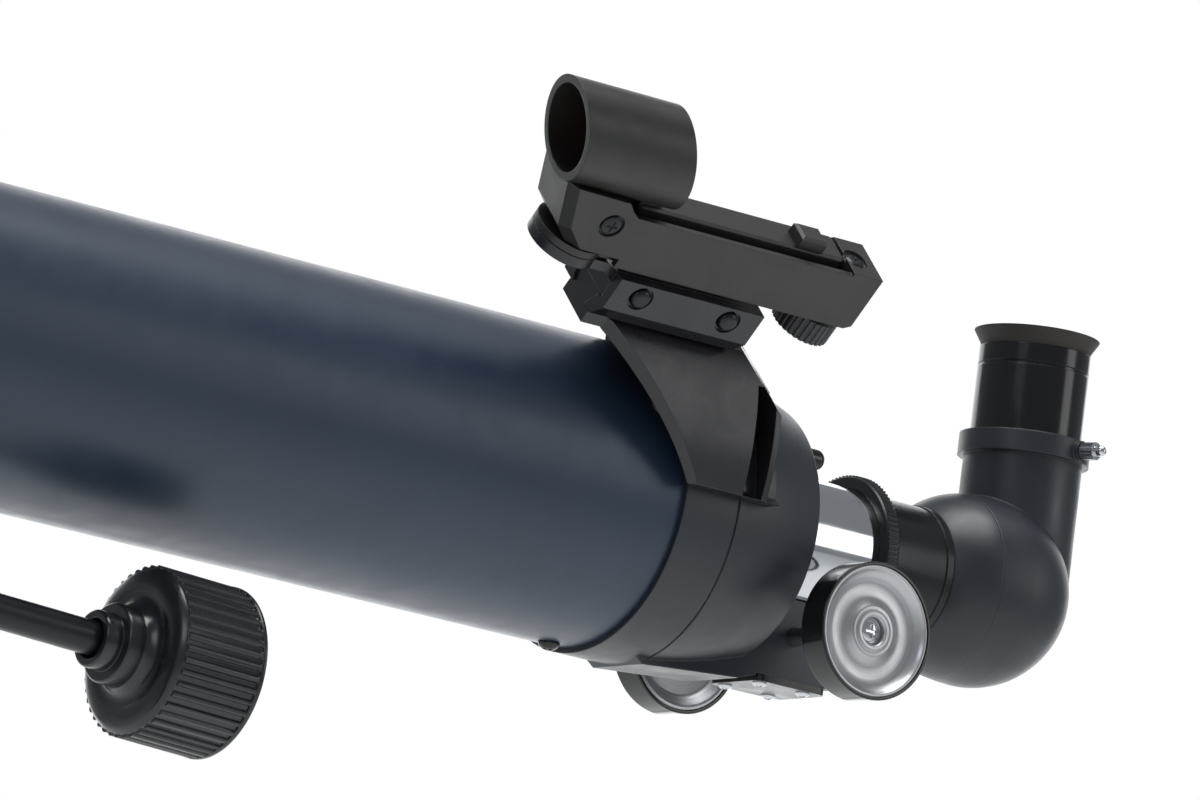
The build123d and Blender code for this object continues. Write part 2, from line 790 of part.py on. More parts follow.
lens_section = Plane(origin=eyepiece_axis.position, x_dir=(0, 0, 1), z_dir=(0, 1, 0))
field_lens = turned_lens(
    lens_section, eyepiece_axis, shoulder + 7, shoulder + 11, field_lens_radius, field_lens_radius - 0.5, 1.2, 1.2
)
eye_lens = turned_lens(
    lens_section, eyepiece_axis, neck_top - 9, neck_top - 5, eye_lens_radius, eye_lens_radius - 0.5, 1.2, 1.2
)

with BuildPart() as eyecup:
    with BuildSketch(eyepiece_section):
        with BuildLine():
            Polyline(
                (neck_radius, eyepiece_body_top),
                (eyepiece_body_radius - 0.45, eyepiece_body_top),
                (eyepiece_body_radius - 0.25, neck_top - 1),
                (eyecup_radius, eyecup_top),
                (eyecup_radius - eyecup_wall, eyecup_top),
                (neck_radius, neck_top),
                close=True,
            )
        make_face()
    revolve(axis=eyepiece_axis)

# ---- Finder bracket -----------------------------------------------------------------------------
skin_radius = housing_radius + bracket_skin
foot_radius = housing_radius + 6.3
platform_half = 8.2
foot_angle = radians(bracket_reach)
foot_away = foot_radius * sin(foot_angle)
foot_up = foot_radius * cos(foot_angle)
bracket_screw_station = (bracket_rib_stations[0] + bracket_rib_stations[1]) / 2
bracket_screw_angles = (finder_roll - 28, finder_roll + 28)
bulge_away = (platform_half + foot_away) / 2 + 2.2
bulge_up = (platform_top + foot_up) / 2 + 2.2


def bracket_outline():
    """Outline of the bracket across the tube, in the open sketch of an across_finder plane."""
    with BuildLine() as outline:
        Polyline(
            (0, 0), (-housing_radius * sin(foot_angle), housing_radius * cos(foot_angle)), (-foot_away, foot_up)
        )
        ThreePointArc((-foot_away, foot_up), (-bulge_away, bulge_up), (-platform_half, platform_top))
        Line((-platform_half, platform_top), (platform_half, platform_top))
        ThreePointArc((platform_half, platform_top), (bulge_away, bulge_up), (foot_away, foot_up))
        Polyline(
            (foot_away, foot_up), (housing_radius * sin(foot_angle), housing_radius * cos(foot_angle)), (0, 0)
        )
    return outline.line


with BuildPart() as bracket_web:
    with BuildSketch(along_tube):
        with BuildLine():
            Polyline(
                (flange_front, tube_radius + flange_lip - 1),
                (web_front, rail_bottom),
                (web_front, platform_top),
                (bracket_front + 1, platform_top),
                (bracket_front + 1, tube_radius + flange_lip - 1),
                close=True,
            )
        make_face()
    revolve(axis=optical_axis)
    with BuildSketch(across_finder(web_front)):
        add(bracket_outline())
        make_face()
    extrude(amount=bracket_front + 1 - web_front, mode=Mode.INTERSECT)
    with BuildSketch(finder_level(housing_radius / 2)):
        with BuildLine():
            Polyline(
                (web_front, -platform_half),
                (web_front, platform_half),
                (flange_front, foot_away),
                (bracket_front + 1, foot_away),
                (bracket_front + 1, -foot_away),
                (flange_front, -foot_away),
                close=True,
            )
        make_face()
    extrude(amount=housing_radius, mode=Mode.INTERSECT)

with BuildPart() as finder_bracket:
    with BuildSketch(across_finder(bracket_front)):
        add(bracket_outline())
        make_face()
    extrude(amount=bracket_end - bracket_front)
    add(bracket_web.part)
    with BuildSketch(finder_side(0)):
        with BuildLine():
            Polyline(
                (clamp_rear + 6, rail_bottom + 5),
                (bracket_end + 1, housing_radius + 6),
                (bracket_end + 1, rail_bottom + 20),
                (clamp_rear + 6, rail_bottom + 20),
                close=True,
            )
        make_face()
    extrude(amount=housing_radius, both=True, mode=Mode.SUBTRACT)
    pocket_starts = (bracket_rib_stations[0] + bracket_rib / 2, bracket_rib_stations[1] + bracket_rib / 2)
    for pocket_start in pocket_starts:
        for side in (-1, 1):
            with BuildSketch(across_finder(pocket_start)):
                with BuildLine():
                    Polyline(
                        (side * platform_half * 0.6, skin_radius),
                        (side * platform_half * 0.6, rail_bottom - 1),
                        (side * (foot_away + 8), rail_bottom - 1),
                        (side * (foot_away + 8), foot_up + 2),
                        (side * (foot_away - 3.4), foot_up - 1.2),
                        close=True,
                    )
                make_face()
                Circle(skin_radius, mode=Mode.SUBTRACT)
            extrude(
                amount=bracket_rib_stations[1] - bracket_rib_stations[0] - bracket_rib, mode=Mode.SUBTRACT
            )
    with BuildSketch(finder_side(0)):
        with BuildLine():
            Polyline(
                (clamp_front + 1, rail_bottom),
                (-4, rail_bottom),
                (-1, tube_radius + 1),
                (bracket_front + 4, tube_radius + 1),
                (bracket_front + 8, platform_top),
                (clamp_front + 1, platform_top),
                close=True,
            )
        make_face()
    extrude(amount=platform_half, both=True)
    with BuildSketch(across_finder(flange_front)):
        Circle(tube_radius + flange_lip)
        with BuildLine():
            Polyline(
                (0, 0), (-90, 90 / tan(foot_angle)), (-90, -90), (90, -90), (90, 90 / tan(foot_angle)), (0, 0)
            )
        make_face(mode=Mode.SUBTRACT)
    extrude(amount=bracket_front + 4.5)
    with BuildSketch(across_finder(flange_front)):
        with PolarLocations(
            tube_radius + flange_lip / 2 - 1, flange_slots, 90 - bracket_reach + 7, 2 * bracket_reach - 14
        ):
            Rectangle(flange_lip / 2, 7)
    extrude(amount=4, mode=Mode.SUBTRACT)
    with BuildSketch(across_finder(clamp_front + 1)):
        with BuildLine():
            Polyline(
                (-rail_foot_half, rail_bottom + 4),
                (-rail_foot_half, rail_neck),
                (-rail_head_half, rail_head),
                (rail_head_half, rail_head),
                (rail_foot_half, rail_neck),
                (rail_foot_half, rail_bottom + 4),
                close=True,
            )
        make_face()
    extrude(amount=clamp_rear - clamp_front - 1)
    with BuildSketch(along_tube):
        band(-60, 0, 0, tube_radius + free_gap)
        band(0, housing_band, 0, housing_radius)
        with BuildLine():
            Polyline((housing_band, 0), (housing_band, housing_radius), (taper_start, housing_radius))
            ThreePointArc(
                (taper_start, housing_radius),
                (taper_middle, (housing_radius + housing_rear_radius) / 2 + taper_bulge),
                (housing_length, housing_rear_radius),
            )
            Polyline((housing_length, housing_rear_radius), (housing_length, 0), (housing_band, 0))
        make_face()
    revolve(axis=optical_axis, mode=Mode.SUBTRACT)
    for angle in bracket_screw_angles:
        with BuildSketch(radial_plane(bracket_screw_station, angle, skin_radius + 4)):
            Circle(small_screw_radius + fit_gap)
        extrude(amount=-bracket_skin - 6, mode=Mode.SUBTRACT)

with BuildPart() as bracket_screws:
    for angle in bracket_screw_angles:
        seat = radial_plane(bracket_screw_station, angle, skin_radius)
        add(domed_screw(seat, 2.8, 2.0, small_screw_radius, bracket_skin - 0.2))

# ---- Finder clamp, swivel and body --------------------------------------------------------------
jaw_gap = 0.1
tongue_bottom = finder_bottom - free_gap - tongue_thickness
tongue_top = tongue_bottom + tongue_thickness
with BuildPart() as finder_clamp:
    with BuildSketch(across_finder(clamp_front)):
        with BuildLine():
            Polyline(
                (-clamp_plate_inner, rail_head + free_gap),
                (rail_head_half + jaw_gap + 0.3, rail_head + free_gap),
                (rail_foot_half + jaw_gap + 0.3, rail_neck),
                (rail_foot_half + jaw_gap + 0.6, clamp_bottom),
                (finder_half_width, clamp_bottom),
                (finder_half_width, clamp_top),
                (-clamp_plate_inner, clamp_top),
                close=True,
            )
        make_face()
    extrude(amount=clamp_rear - clamp_front)
    with BuildSketch(finder_level(tongue_bottom)):
        with Locations((nose_station, 0)):
            Circle(nose_radius)
    extrude(amount=tongue_thickness)
    with BuildSketch(finder_side(0)):
        with BuildLine():
            Polyline(
                (nose_station, tongue_bottom),
                (nose_station, tongue_top),
                (nose_station + nose_radius, tongue_top),
                (clamp_front + 0.2, clamp_top),
                (clamp_front + 0.2, tongue_bottom - 3),
                (nose_station + nose_radius + 1, tongue_bottom),
                close=True,
            )
        make_face()
    extrude(amount=nose_radius - 2, both=True)
    with BuildSketch(finder_level(tongue_bottom)):
        with Locations((nose_station, 0)):
            Circle(4 + fit_gap)
    extrude(amount=tongue_thickness, mode=Mode.SUBTRACT)
    for station in clamp_bolt_stations:
        with BuildSketch(finder_side(-clamp_plate_inner)):
            with Locations((station, clamp_bolt_height)):
                Circle(tube_screw_radius + fit_gap)
        extrude(amount=-2 * clamp_plate_inner, mode=Mode.SUBTRACT)

with BuildPart() as finder_clamp_plate:
    with BuildSketch(across_finder(clamp_front)):
        with BuildLine():
            Polyline(
                (-clamp_plate_outer, clamp_edge),
                (-clamp_plate_inner, clamp_bottom),
                (-rail_foot_half - jaw_gap - 0.6, clamp_bottom),
                (-rail_foot_half - jaw_gap, rail_neck),
                (-rail_head_half - jaw_gap, rail_head),
                (-clamp_plate_inner - jaw_gap, rail_head),
                (-clamp_plate_inner - jaw_gap, clamp_top),
                (-clamp_plate_outer, clamp_top),
                close=True,
            )
        make_face()
    extrude(amount=clamp_rear - clamp_front)
    for station in clamp_bolt_stations:
        with BuildSketch(finder_side(-clamp_plate_outer)):
            with Locations((station, clamp_bolt_height)):
                Circle(screw_recess)
        extrude(amount=-screw_recess_depth, mode=Mode.SUBTRACT)
        with BuildSketch(finder_side(-clamp_plate_outer)):
            with Locations((station, clamp_bolt_height)):
                Circle(tube_screw_radius + fit_gap)
        extrude(amount=-5, mode=Mode.SUBTRACT)

with BuildPart() as finder_clamp_bolts:
    for station in clamp_bolt_stations:
        near = tube_end + Vector(station, 0, 0) + roll_up * clamp_bolt_height
        near -= roll_away * (clamp_plate_outer - screw_recess_depth)
        add(
            domed_screw(Plane(origin=near, x_dir=(1, 0, 0), z_dir=roll_away * -1), 3.6, 2.4, tube_screw_radius, 20)
        )

swivel_half = finder_half_width - finder_wall - 0.8
swivel_end = finder_rear - finder_wall - 2.0
riser_half = 4.5
with BuildPart() as finder_swivel:
    with BuildSketch(finder_level(tongue_bottom)):
        with Locations((nose_station, 0)):
            Circle(4)
    extrude(amount=finder_bottom - tongue_bottom + 1)
    with BuildSketch(finder_level(finder_bottom)):
        with Locations((nose_station, 0)):
            Circle(nose_radius)
    extrude(amount=nose_disc)
    with BuildSketch(finder_level(finder_bottom + 0.5)):
        with Locations(((nose_station - 4 + swivel_end) / 2, 0)):
            Rectangle(swivel_end + 4 - nose_station, 2 * swivel_half)
        with Locations((wheel_station, 0)):
            Circle(2 + fit_gap, mode=Mode.SUBTRACT)
    extrude(amount=2.2)
    with BuildSketch(finder_side(0)):
        with BuildLine():
            Polyline(
                (pivot_station - riser_half, finder_bottom + 1),
                (pivot_station - riser_half, pivot_height),
                (pivot_station - 2.5, pivot_height + 2.2),
                (pivot_station + 2.5, pivot_height + 2.2),
                (pivot_station + riser_half, pivot_height),
                (pivot_station + riser_half, finder_bottom + 1),
                close=True,
            )
        make_face()
    extrude(amount=swivel_half, both=True)
    with BuildSketch(finder_side(0)):
        with Locations((pivot_station, pivot_height)):
            Circle(tube_screw_radius + fit_gap)
    extrude(amount=swivel_half, both=True, mode=Mode.SUBTRACT)

rear_screw_seat = Plane(
    origin=tube_end
    + Vector(rear_screw_station, 0, 0)
    + roll_up * (block_top - screw_recess_depth)
    - roll_away * rear_screw_shift,
    x_dir=(1, 0, 0),
    z_dir=roll_up,
)
disc_clearance = finder_bottom + nose_disc + 0.7
slot_start = rail_start - 3.0
with BuildPart() as finder_body:
    with BuildSketch(finder_side(0)):
        with BuildLine():
            Polyline(
                (finder_front, finder_crown),
                (finder_front + 6.9, finder_bottom + 7.8),
                (nose_station - 7.5, disc_clearance),
                (nose_station + nose_radius + 0.8, disc_clearance),
                (nose_station + nose_radius + 0.8, finder_bottom),
                (finder_rear - 2.5, finder_bottom),
                (finder_rear, finder_bottom + 1.5),
                (finder_rear, block_top),
                (rail_end + 1, block_top),
                (rail_end + 1, finder_deck),
                (slot_start, finder_deck),
                (slot_start - 3, finder_deck + 1.8),
                (slot_start - 6, finder_crown - 0.3),
                close=True,
            )
        make_face()
    extrude(amount=finder_half_width, both=True)
    front_corners = finder_body.edges().filter_by(lambda edge: abs(edge.tangent_at(0.5).dot(roll_away)) < 0.3)
    front_corners = front_corners.filter_by(lambda edge: edge.center().X < tube_rear + finder_front + 11)
    chamfer(front_corners, 3.2)
    with BuildSketch(across_finder(slot_start)):
        with Locations((finder_wall / 2 + 1, (finder_floor + finder_crown) / 2)):
            Rectangle(2 * finder_half_width - finder_wall + 2, finder_crown - finder_floor)
    extrude(amount=rail_end + 1 - slot_start, mode=Mode.SUBTRACT)
    with BuildSketch(across_finder(rail_end)):
        with BuildLine():
            Polyline(
                (block_flat, block_top + 1),
                (finder_half_width + 1, block_top + 1),
                (finder_half_width + 1, finder_floor),
                (finder_half_width - 0.5, finder_floor),
                (block_flat, block_top),
                close=True,
            )
        make_face()
    extrude(amount=finder_rear - rail_end + 1, mode=Mode.SUBTRACT)
    with BuildSketch(finder_side(0)):
        with BuildLine():
            Polyline(
                (pivot_station - 8, finder_bottom - 1),
                (pivot_station - 8, pivot_height + 3),
                (pivot_station + 6, pivot_height + 3),
                (pivot_station + 6.3, finder_floor - 2),
                (finder_rear - finder_wall - 1, finder_floor - 2),
                (finder_rear - finder_wall - 1, finder_bottom - 1),
                close=True,
            )
        make_face()
    extrude(amount=finder_half_width - finder_wall, both=True, mode=Mode.SUBTRACT)
    with BuildSketch(across_finder(finder_front - 10)):
        with Locations((0, sight_height)):
            Circle(sight_radius + 0.02)
    extrude(amount=sight_length + 14, mode=Mode.SUBTRACT)
    with BuildSketch(finder_side(0)):
        with Locations((pivot_station, pivot_height)):
            Circle(tube_screw_radius + fit_gap)
    extrude(amount=finder_half_width, both=True, mode=Mode.SUBTRACT)
    for side in (-1, 1):
        with BuildSketch(finder_side(side * finder_half_width)):
            with Locations((pivot_station, pivot_height)):
                Circle(screw_recess)
        extrude(amount=side * screw_recess_depth, mode=Mode.SUBTRACT)
    with BuildSketch(rear_screw_seat):
        Circle(screw_recess)
    extrude(amount=screw_recess_depth, mode=Mode.SUBTRACT)
    with BuildSketch(rear_screw_seat):
        Circle(small_screw_radius + fit_gap)
    extrude(amount=-4, mode=Mode.SUBTRACT)

with BuildPart() as finder_rail:
    with BuildSketch(finder_level(finder_floor)):
        with Locations(((rail_start + rail_end) / 2, 0)):
            RectangleRounded(rail_end - rail_start, 2 * rail_half_width, 2)
    extrude(amount=rail_top - finder_floor)
    rail_edges = finder_rail.faces().sort_by(Axis(tube_end, roll_up))[-1].edges()
    chamfer(rail_edges.filter_by(Axis.X), 0.8)
    with BuildSketch(across_finder(rail_start)):
        with Locations((0, rail_top)):
            Rectangle(2 * rail_half_width - 2.4, 4)
    extrude(amount=sight_front + sight_length - rail_start + 3)
    with BuildSketch(across_finder(rail_start - 1)):
        with Locations((0, sight_height)):
            Circle(sight_radius + 0.02)
    extrude(amount=sight_front + sight_length - rail_start + 8, mode=Mode.SUBTRACT)

slant = tan(radians(sight_slant))


def slant_plane(station):
    """Slanted end of the sight tube, its normal along the tube."""
    origin = tube_end + Vector(station, 0, 0) + roll_up * sight_height
    return Plane(origin=origin, x_dir=roll_away, z_dir=Vector(1, 0, 0) + roll_up * slant)


with BuildPart() as finder_tube:
    with BuildSketch(across_finder(sight_front - 12)):
        with Locations((0, sight_height)):
            Circle(sight_radius)
            Circle(sight_bore, mode=Mode.SUBTRACT)
    extrude(amount=sight_length + 24)
    split(bisect_by=slant_plane(sight_front), keep=Keep.TOP)
    split(bisect_by=slant_plane(sight_front + sight_length), keep=Keep.BOTTOM)

window_station = sight_front + 22
with BuildPart() as finder_window:
    with BuildSketch(across_finder(window_station)):
        with Locations((0, sight_height)):
            Circle(sight_bore)
    extrude(amount=2)

with BuildPart() as finder_window_ring:
    with BuildSketch(across_finder(window_station - 1.6)):
        with Locations((0, sight_height)):
            Circle(sight_bore)
            Circle(sight_bore - 2.2, mode=Mode.SUBTRACT)
    extrude(amount=1.6)

with BuildPart() as finder_light:
    with BuildSketch(finder_level(rail_top)):
        with Locations((light_station, -light_shift)):
            Rectangle(10, 2 * (rail_half_width - light_shift))
    extrude(amount=light_height)
    chamfer(finder_light.faces().sort_by(Axis(tube_end, roll_up))[-1].edges(), 0.8)

with BuildPart() as finder_screws:
    for side in (-1, 1):
        near = tube_end + Vector(pivot_station, 0, 0) + roll_up * pivot_height
        near += roll_away * side * (finder_half_width - screw_recess_depth)
        seat = Plane(origin=near, x_dir=(1, 0, 0), z_dir=roll_away * side)
        add(domed_screw(seat, 3.6, 1.6, tube_screw_radius, finder_half_width - swivel_half + 5))
    add(domed_screw(rear_screw_seat, 3.4, 0.9, small_screw_radius, 3))

with BuildPart() as finder_altitude_wheel:
    with BuildSketch(finder_level(wheel_bottom)):
        with Locations((wheel_station, 0)):
            fluted_disc(wheel_radius, wheel_flutes, 0.5)
    extrude(amount=wheel_top - wheel_bottom)
    with BuildSketch(finder_level(wheel_top)):
        with Locations((wheel_station, 0)):
            Circle(2)
    extrude(amount=10)

with BuildPart() as finder_azimuth_wheel:
    with BuildSketch(finder_side(finder_half_width + free_gap)):
        with Locations((-22, clamp_bolt_height)):
            fluted_disc(6, 24, 0.5)
    extrude(amount=-6)

with BuildPart() as finder_switch:
    with BuildSketch(finder_side(finder_half_width + free_gap)):
        with Locations((-4, finder_bottom + 10)):
            RectangleRounded(9, 4, 1)
    extrude(amount=-2)

# ---- Dovetail bar and saddle --------------------------------------------------------------------
with BuildPart() as dovetail_bar:
    with BuildSketch(Plane.YZ.offset(-bar_length / 2)):
        with BuildLine():
            Polyline(
                (-bar_width / 2, bar_bottom),
                (-bar_top_width / 2, bar_top),
                (-bar_top_width / 2, bar_top + 8),
                (bar_top_width / 2, bar_top + 8),
                (bar_top_width / 2, bar_top),
                (bar_width / 2, bar_bottom),
                close=True,
            )
        make_face()
    extrude(amount=bar_length)
    with BuildSketch(across_tube(-tube_length)):
        Circle(tube_radius)
    extrude(amount=tube_length, mode=Mode.SUBTRACT)
    with BuildSketch(Plane.XY.offset(bar_bottom)):
        with Locations((-bar_screw_station, 0), (bar_screw_station, 0)):
            Circle(6)
    extrude(amount=6, mode=Mode.SUBTRACT)
    with BuildSketch(Plane.XY.offset(bar_bottom)):
        with Locations((-bar_screw_station, 0), (bar_screw_station, 0)):
            Circle(shaft_radius + fit_gap)
    extrude(amount=bar_height + 8, mode=Mode.SUBTRACT)

with BuildPart() as dovetail_screws:
    with BuildSketch(Plane.XY.offset(bar_bottom + 1)):
        with Locations((-bar_screw_station, 0), (bar_screw_station, 0)):
            Circle(5)
    extrude(amount=5)
    with BuildSketch(Plane.XY.offset(bar_bottom + 6)):
        with Locations((-bar_screw_station, 0), (bar_screw_station, 0)):
            Circle(shaft_radius)
    extrude(amount=bar_height - 6 + tube_wall + 1)

handle_root = Plane(
    origin=(0, handle_side, handle_root_height),
    x_dir=(0, 1, 0),
    z_dir=(cos(radians(handle_tilt)), 0, -sin(radians(handle_tilt))),
)
saddle_bottom = altitude_height + ear_radius + 1
saddle_top = bar_bottom + saddle_lip
wing = (bar_width - bar_top_width) / 2 * saddle_lip / bar_height

with BuildPart() as head_saddle:
    with BuildSketch(Plane.XY.offset(saddle_bottom)):
        RectangleRounded(saddle_length, saddle_width, 5)
    extrude(amount=saddle_top - saddle_bottom)
    with BuildSketch(Plane.YZ.offset(-saddle_length / 2)):
        with BuildLine():
            Polyline(
                (-bar_width / 2 - fit_gap, bar_bottom),
                (-bar_width / 2 - fit_gap + wing, saddle_top),
                (bar_width / 2 + fit_gap - wing, saddle_top),
                (bar_width / 2 + fit_gap, bar_bottom),
                close=True,
            )
        make_face()
    extrude(amount=saddle_length, mode=Mode.SUBTRACT)
    with BuildSketch(Plane.XZ):
        with Locations((0, altitude_height)):
            Circle(ear_radius - 1)
        with Locations((0, (altitude_height + saddle_bottom) / 2)):
            Rectangle(2 * ear_radius - 2, saddle_bottom - altitude_height + 1)
    extrude(amount=tongue_half, both=True)
    with BuildSketch(handle_root.offset(-10)):
        Circle(handle_boss_radius)
    extrude(amount=handle_boss_end + 10)
    with BuildSketch(handle_root.offset(-7)):
        Circle(handle_radius + fit_gap)
    extrude(amount=handle_boss_end + 10, mode=Mode.SUBTRACT)
    with BuildSketch(Plane.XZ):
        with Locations((0, altitude_height)):
            Circle(altitude_bolt_radius + fit_gap)
    extrude(amount=tongue_half, both=True, mode=Mode.SUBTRACT)
    with BuildSketch(Plane.XZ.offset(-saddle_width / 2)):
        with Locations((0, bar_bottom + saddle_lip / 2)):
            Circle(shaft_radius + fit_gap)
    extrude(amount=(saddle_width - bar_width) / 2 + 2, mode=Mode.SUBTRACT)

knob_height = bar_bottom + saddle_lip / 2
with BuildPart() as saddle_knob:
    with BuildSketch(Plane.XZ.offset(-saddle_width / 2 - free_gap)):
        with Locations((0, knob_height)):
            fluted_disc(side_knob_radius, 8, 1.6)
    extrude(amount=-15)
    with BuildSketch(Plane.XZ.offset(-saddle_width / 2 - free_gap)):
        with Locations((0, knob_height)):
            Circle(shaft_radius)
    extrude(amount=(saddle_width - bar_width) / 2 - 1.6)

# ---- Alt-azimuth head ---------------------------------------------------------------------------
with BuildPart() as azimuth_base:
    with BuildSketch():
        Circle(base_radius)
    extrude(amount=base_height)
    chamfer(azimuth_base.edges().group_by(Axis.Z)[0], 1)
    with BuildSketch(Plane.XY.offset(base_height)):
        Circle(spindle_radius)
    extrude(amount=turret_top - base_height - 4)
    with BuildSketch():
        Circle(socket_thread_radius)
    extrude(amount=socket_thread_depth, mode=Mode.SUBTRACT)

ear_inner = tongue_half + free_gap
ear_outer = ear_inner + ear_thickness
with BuildPart() as azimuth_body:
    with BuildSketch(Plane.XY.offset(base_height + free_gap)):
        Circle(turret_radius)
    extrude(amount=turret_top - base_height - free_gap)
    fillet(azimuth_body.edges().group_by(Axis.Z)[-1], 4)
    with BuildSketch(Plane.XZ):
        with Locations((0, altitude_height)):
            Circle(ear_radius)
        with Locations((0, (turret_top + altitude_height) / 2)):
            Rectangle(2 * ear_radius, altitude_height - turret_top + 4)
    extrude(amount=ear_outer, both=True)
    with BuildSketch(Plane.XZ):
        with Locations((0, altitude_height + 2)):
            Rectangle(4 * ear_radius, 2 * (ear_radius + 6))
    extrude(amount=ear_inner, both=True, mode=Mode.SUBTRACT)
    with BuildSketch(Plane.XZ):
        with Locations((0, altitude_height)):
            Circle(altitude_bolt_radius)
    extrude(amount=ear_outer, both=True, mode=Mode.SUBTRACT)
    with BuildSketch(Plane.XY.offset(base_height + free_gap)):
        Circle(spindle_radius + fit_gap)
    extrude(amount=turret_top - base_height - 4, mode=Mode.SUBTRACT)
    with BuildSketch(Plane.XZ.offset(turret_radius)):
        with Locations((0, lock_knob_height)):
            Circle(shaft_radius + fit_gap)
    extrude(amount=spindle_radius - turret_radius, mode=Mode.SUBTRACT)

with BuildPart() as altitude_bolt:
    with BuildSketch(Plane.XZ):
        with Locations((0, altitude_height)):
            Circle(altitude_bolt_radius)
    extrude(amount=ear_outer, both=True)
    for side in (-1, 1):
        with BuildSketch(Plane.XZ.offset(side * ear_outer)):
            with Locations((0, altitude_height)):
                RegularPolygon(8, 6)
        extrude(amount=side * 3.6)

with BuildPart() as azimuth_lock_knob:
    with BuildSketch(Plane.XZ.offset(turret_radius + free_gap)):
        with Locations((0, lock_knob_height)):
            fluted_disc(side_knob_radius, 8, 1.6)
    extrude(amount=14)
    with BuildSketch(Plane.XZ.offset(spindle_radius + free_gap)):
        with Locations((0, lock_knob_height)):
            Circle(shaft_radius)
    extrude(amount=turret_radius - spindle_radius)

# ---- Pan handle ---------------------------------------------------------------------------------
with BuildPart() as handle_rod:
    with BuildSketch(handle_root.offset(-6)):
        Circle(handle_radius)
    extrude(amount=handle_knob_start + 12)

with BuildPart() as handle_knob:
    with BuildSketch(handle_root.offset(handle_knob_start)):
        fluted_disc(handle_knob_radius, handle_flutes, 0.8)
    extrude(amount=handle_knob_end - handle_knob_start)
    with BuildSketch(handle_root.offset(handle_knob_start)):
        Circle(handle_knob_radius - 1)
    extrude(amount=-5.5, taper=35)
    with BuildSketch(handle_root.offset(handle_knob_start)):
        Circle(12.8)
    extrude(amount=-12)
    with BuildSketch(handle_root.offset(handle_knob_start - 12)):
        Circle(9.2)
    extrude(amount=-handle_nose + 12)
    with BuildSketch(handle_root.offset(handle_knob_start - handle_nose)):
        Circle(handle_radius)
    extrude(amount=handle_nose + 6, mode=Mode.SUBTRACT)

# ---- Labels and files ---------------------------------------------------------------------------
pieces = {
    "main_tube": main_tube.part,
    "dew_shield": dew_shield.part,
    "objective_cell": objective_cell.part,
    "crown_lens": crown_lens,
    "flint_lens": flint_lens,
    "lens_spacer": lens_spacer.part,
    "lens_retaining_ring": lens_retaining_ring.part,
    "light_baffles": light_baffles.part,
    "tube_screws": tube_screws.part,
    "focuser_housing": focuser_housing.part,
    "saddle_cover": saddle_cover.part,
    "saddle_screws": saddle_screws.part,
    "focus_lock_screw": focus_lock_screw.part,
    "drawtube": drawtube.part,
    "drawtube_rack": drawtube_rack.part,
    "pinion_shaft": pinion_shaft.part,
    "drawtube_collar": drawtube_collar.part,
    "adapter_tube": adapter_tube.part,
    "adapter_thumbscrew": adapter_thumbscrew,
    "focus_knob_screws": focus_knob_screws.part,
    "diagonal_barrel": diagonal_barrel.part,
    "diagonal_front_shell": diagonal_front_shell.part,
    "diagonal_rear_shell": diagonal_rear_shell.part,
    "diagonal_prism": diagonal_prism.part,
    "eyepiece_thumbscrew": eyepiece_thumbscrew,
    "eyepiece_barrel": eyepiece_barrel.part,
    "eyepiece_body": eyepiece_body.part,
    "field_lens": field_lens,
    "eye_lens": eye_lens,
    "eyecup": eyecup.part,
    "finder_bracket": finder_bracket.part,
    "bracket_screws": bracket_screws.part,
    "finder_clamp": finder_clamp.part,
    "finder_clamp_plate": finder_clamp_plate.part,
    "finder_clamp_bolts": finder_clamp_bolts.part,
    "finder_swivel": finder_swivel.part,
    "finder_body": finder_body.part,
    "finder_rail": finder_rail.part,
    "finder_tube": finder_tube.part,
    "finder_window": finder_window.part,
    "finder_window_ring": finder_window_ring.part,
    "finder_light": finder_light.part,
    "finder_screws": finder_screws.part,
    "finder_altitude_wheel": finder_altitude_wheel.part,
    "finder_azimuth_wheel": finder_azimuth_wheel.part,
    "finder_switch": finder_switch.part,
    "dovetail_bar": dovetail_bar.part,
    "dovetail_screws": dovetail_screws.part,
    "head_saddle": head_saddle.part,
    "saddle_knob": saddle_knob.part,
    "altitude_bolt": altitude_bolt.part,
    "azimuth_body": azimuth_body.part,
    "azimuth_base": azimuth_base.part,
    "azimuth_lock_knob": azimuth_lock_knob.part,
    "handle_rod": handle_rod.part,
    "handle_knob": handle_knob.part,
}
pieces.update(knob_parts)

os.makedirs("parts", exist_ok=True)
for name, piece in pieces.items():
    piece.label = name
    export_step(piece, f"parts/{name}.step")
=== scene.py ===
import logging
import math
from dataclasses import dataclass, field
from enum import Enum
from typing import Callable, Sequence

import bmesh
import bpy
from mathutils import Matrix, Vector


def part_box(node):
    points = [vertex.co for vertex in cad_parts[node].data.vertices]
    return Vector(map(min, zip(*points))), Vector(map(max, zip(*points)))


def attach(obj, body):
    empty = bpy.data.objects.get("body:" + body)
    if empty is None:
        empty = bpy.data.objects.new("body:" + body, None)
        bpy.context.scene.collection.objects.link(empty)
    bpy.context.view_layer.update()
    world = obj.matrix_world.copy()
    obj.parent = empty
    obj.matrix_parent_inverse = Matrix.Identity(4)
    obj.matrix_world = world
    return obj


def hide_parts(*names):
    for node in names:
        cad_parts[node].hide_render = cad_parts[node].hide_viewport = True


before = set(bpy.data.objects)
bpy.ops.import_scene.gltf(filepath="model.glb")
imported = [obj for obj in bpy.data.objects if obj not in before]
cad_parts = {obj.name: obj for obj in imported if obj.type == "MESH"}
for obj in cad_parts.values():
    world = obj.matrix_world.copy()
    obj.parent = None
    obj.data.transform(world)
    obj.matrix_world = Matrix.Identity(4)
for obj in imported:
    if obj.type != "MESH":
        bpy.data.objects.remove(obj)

MM = 0.001
LOG = logging.getLogger("telescope")
Profile = Sequence[tuple[float, float]]
DRIFT_PER_METRE = 28.0  # patches of colour about 36 mm across
SMEARS_PER_METRE = 75.0  # handling smears about 13 mm across
SMEAR_CONTRAST = (0.3, 0.7)  # the noise that reaches from smooth to rough
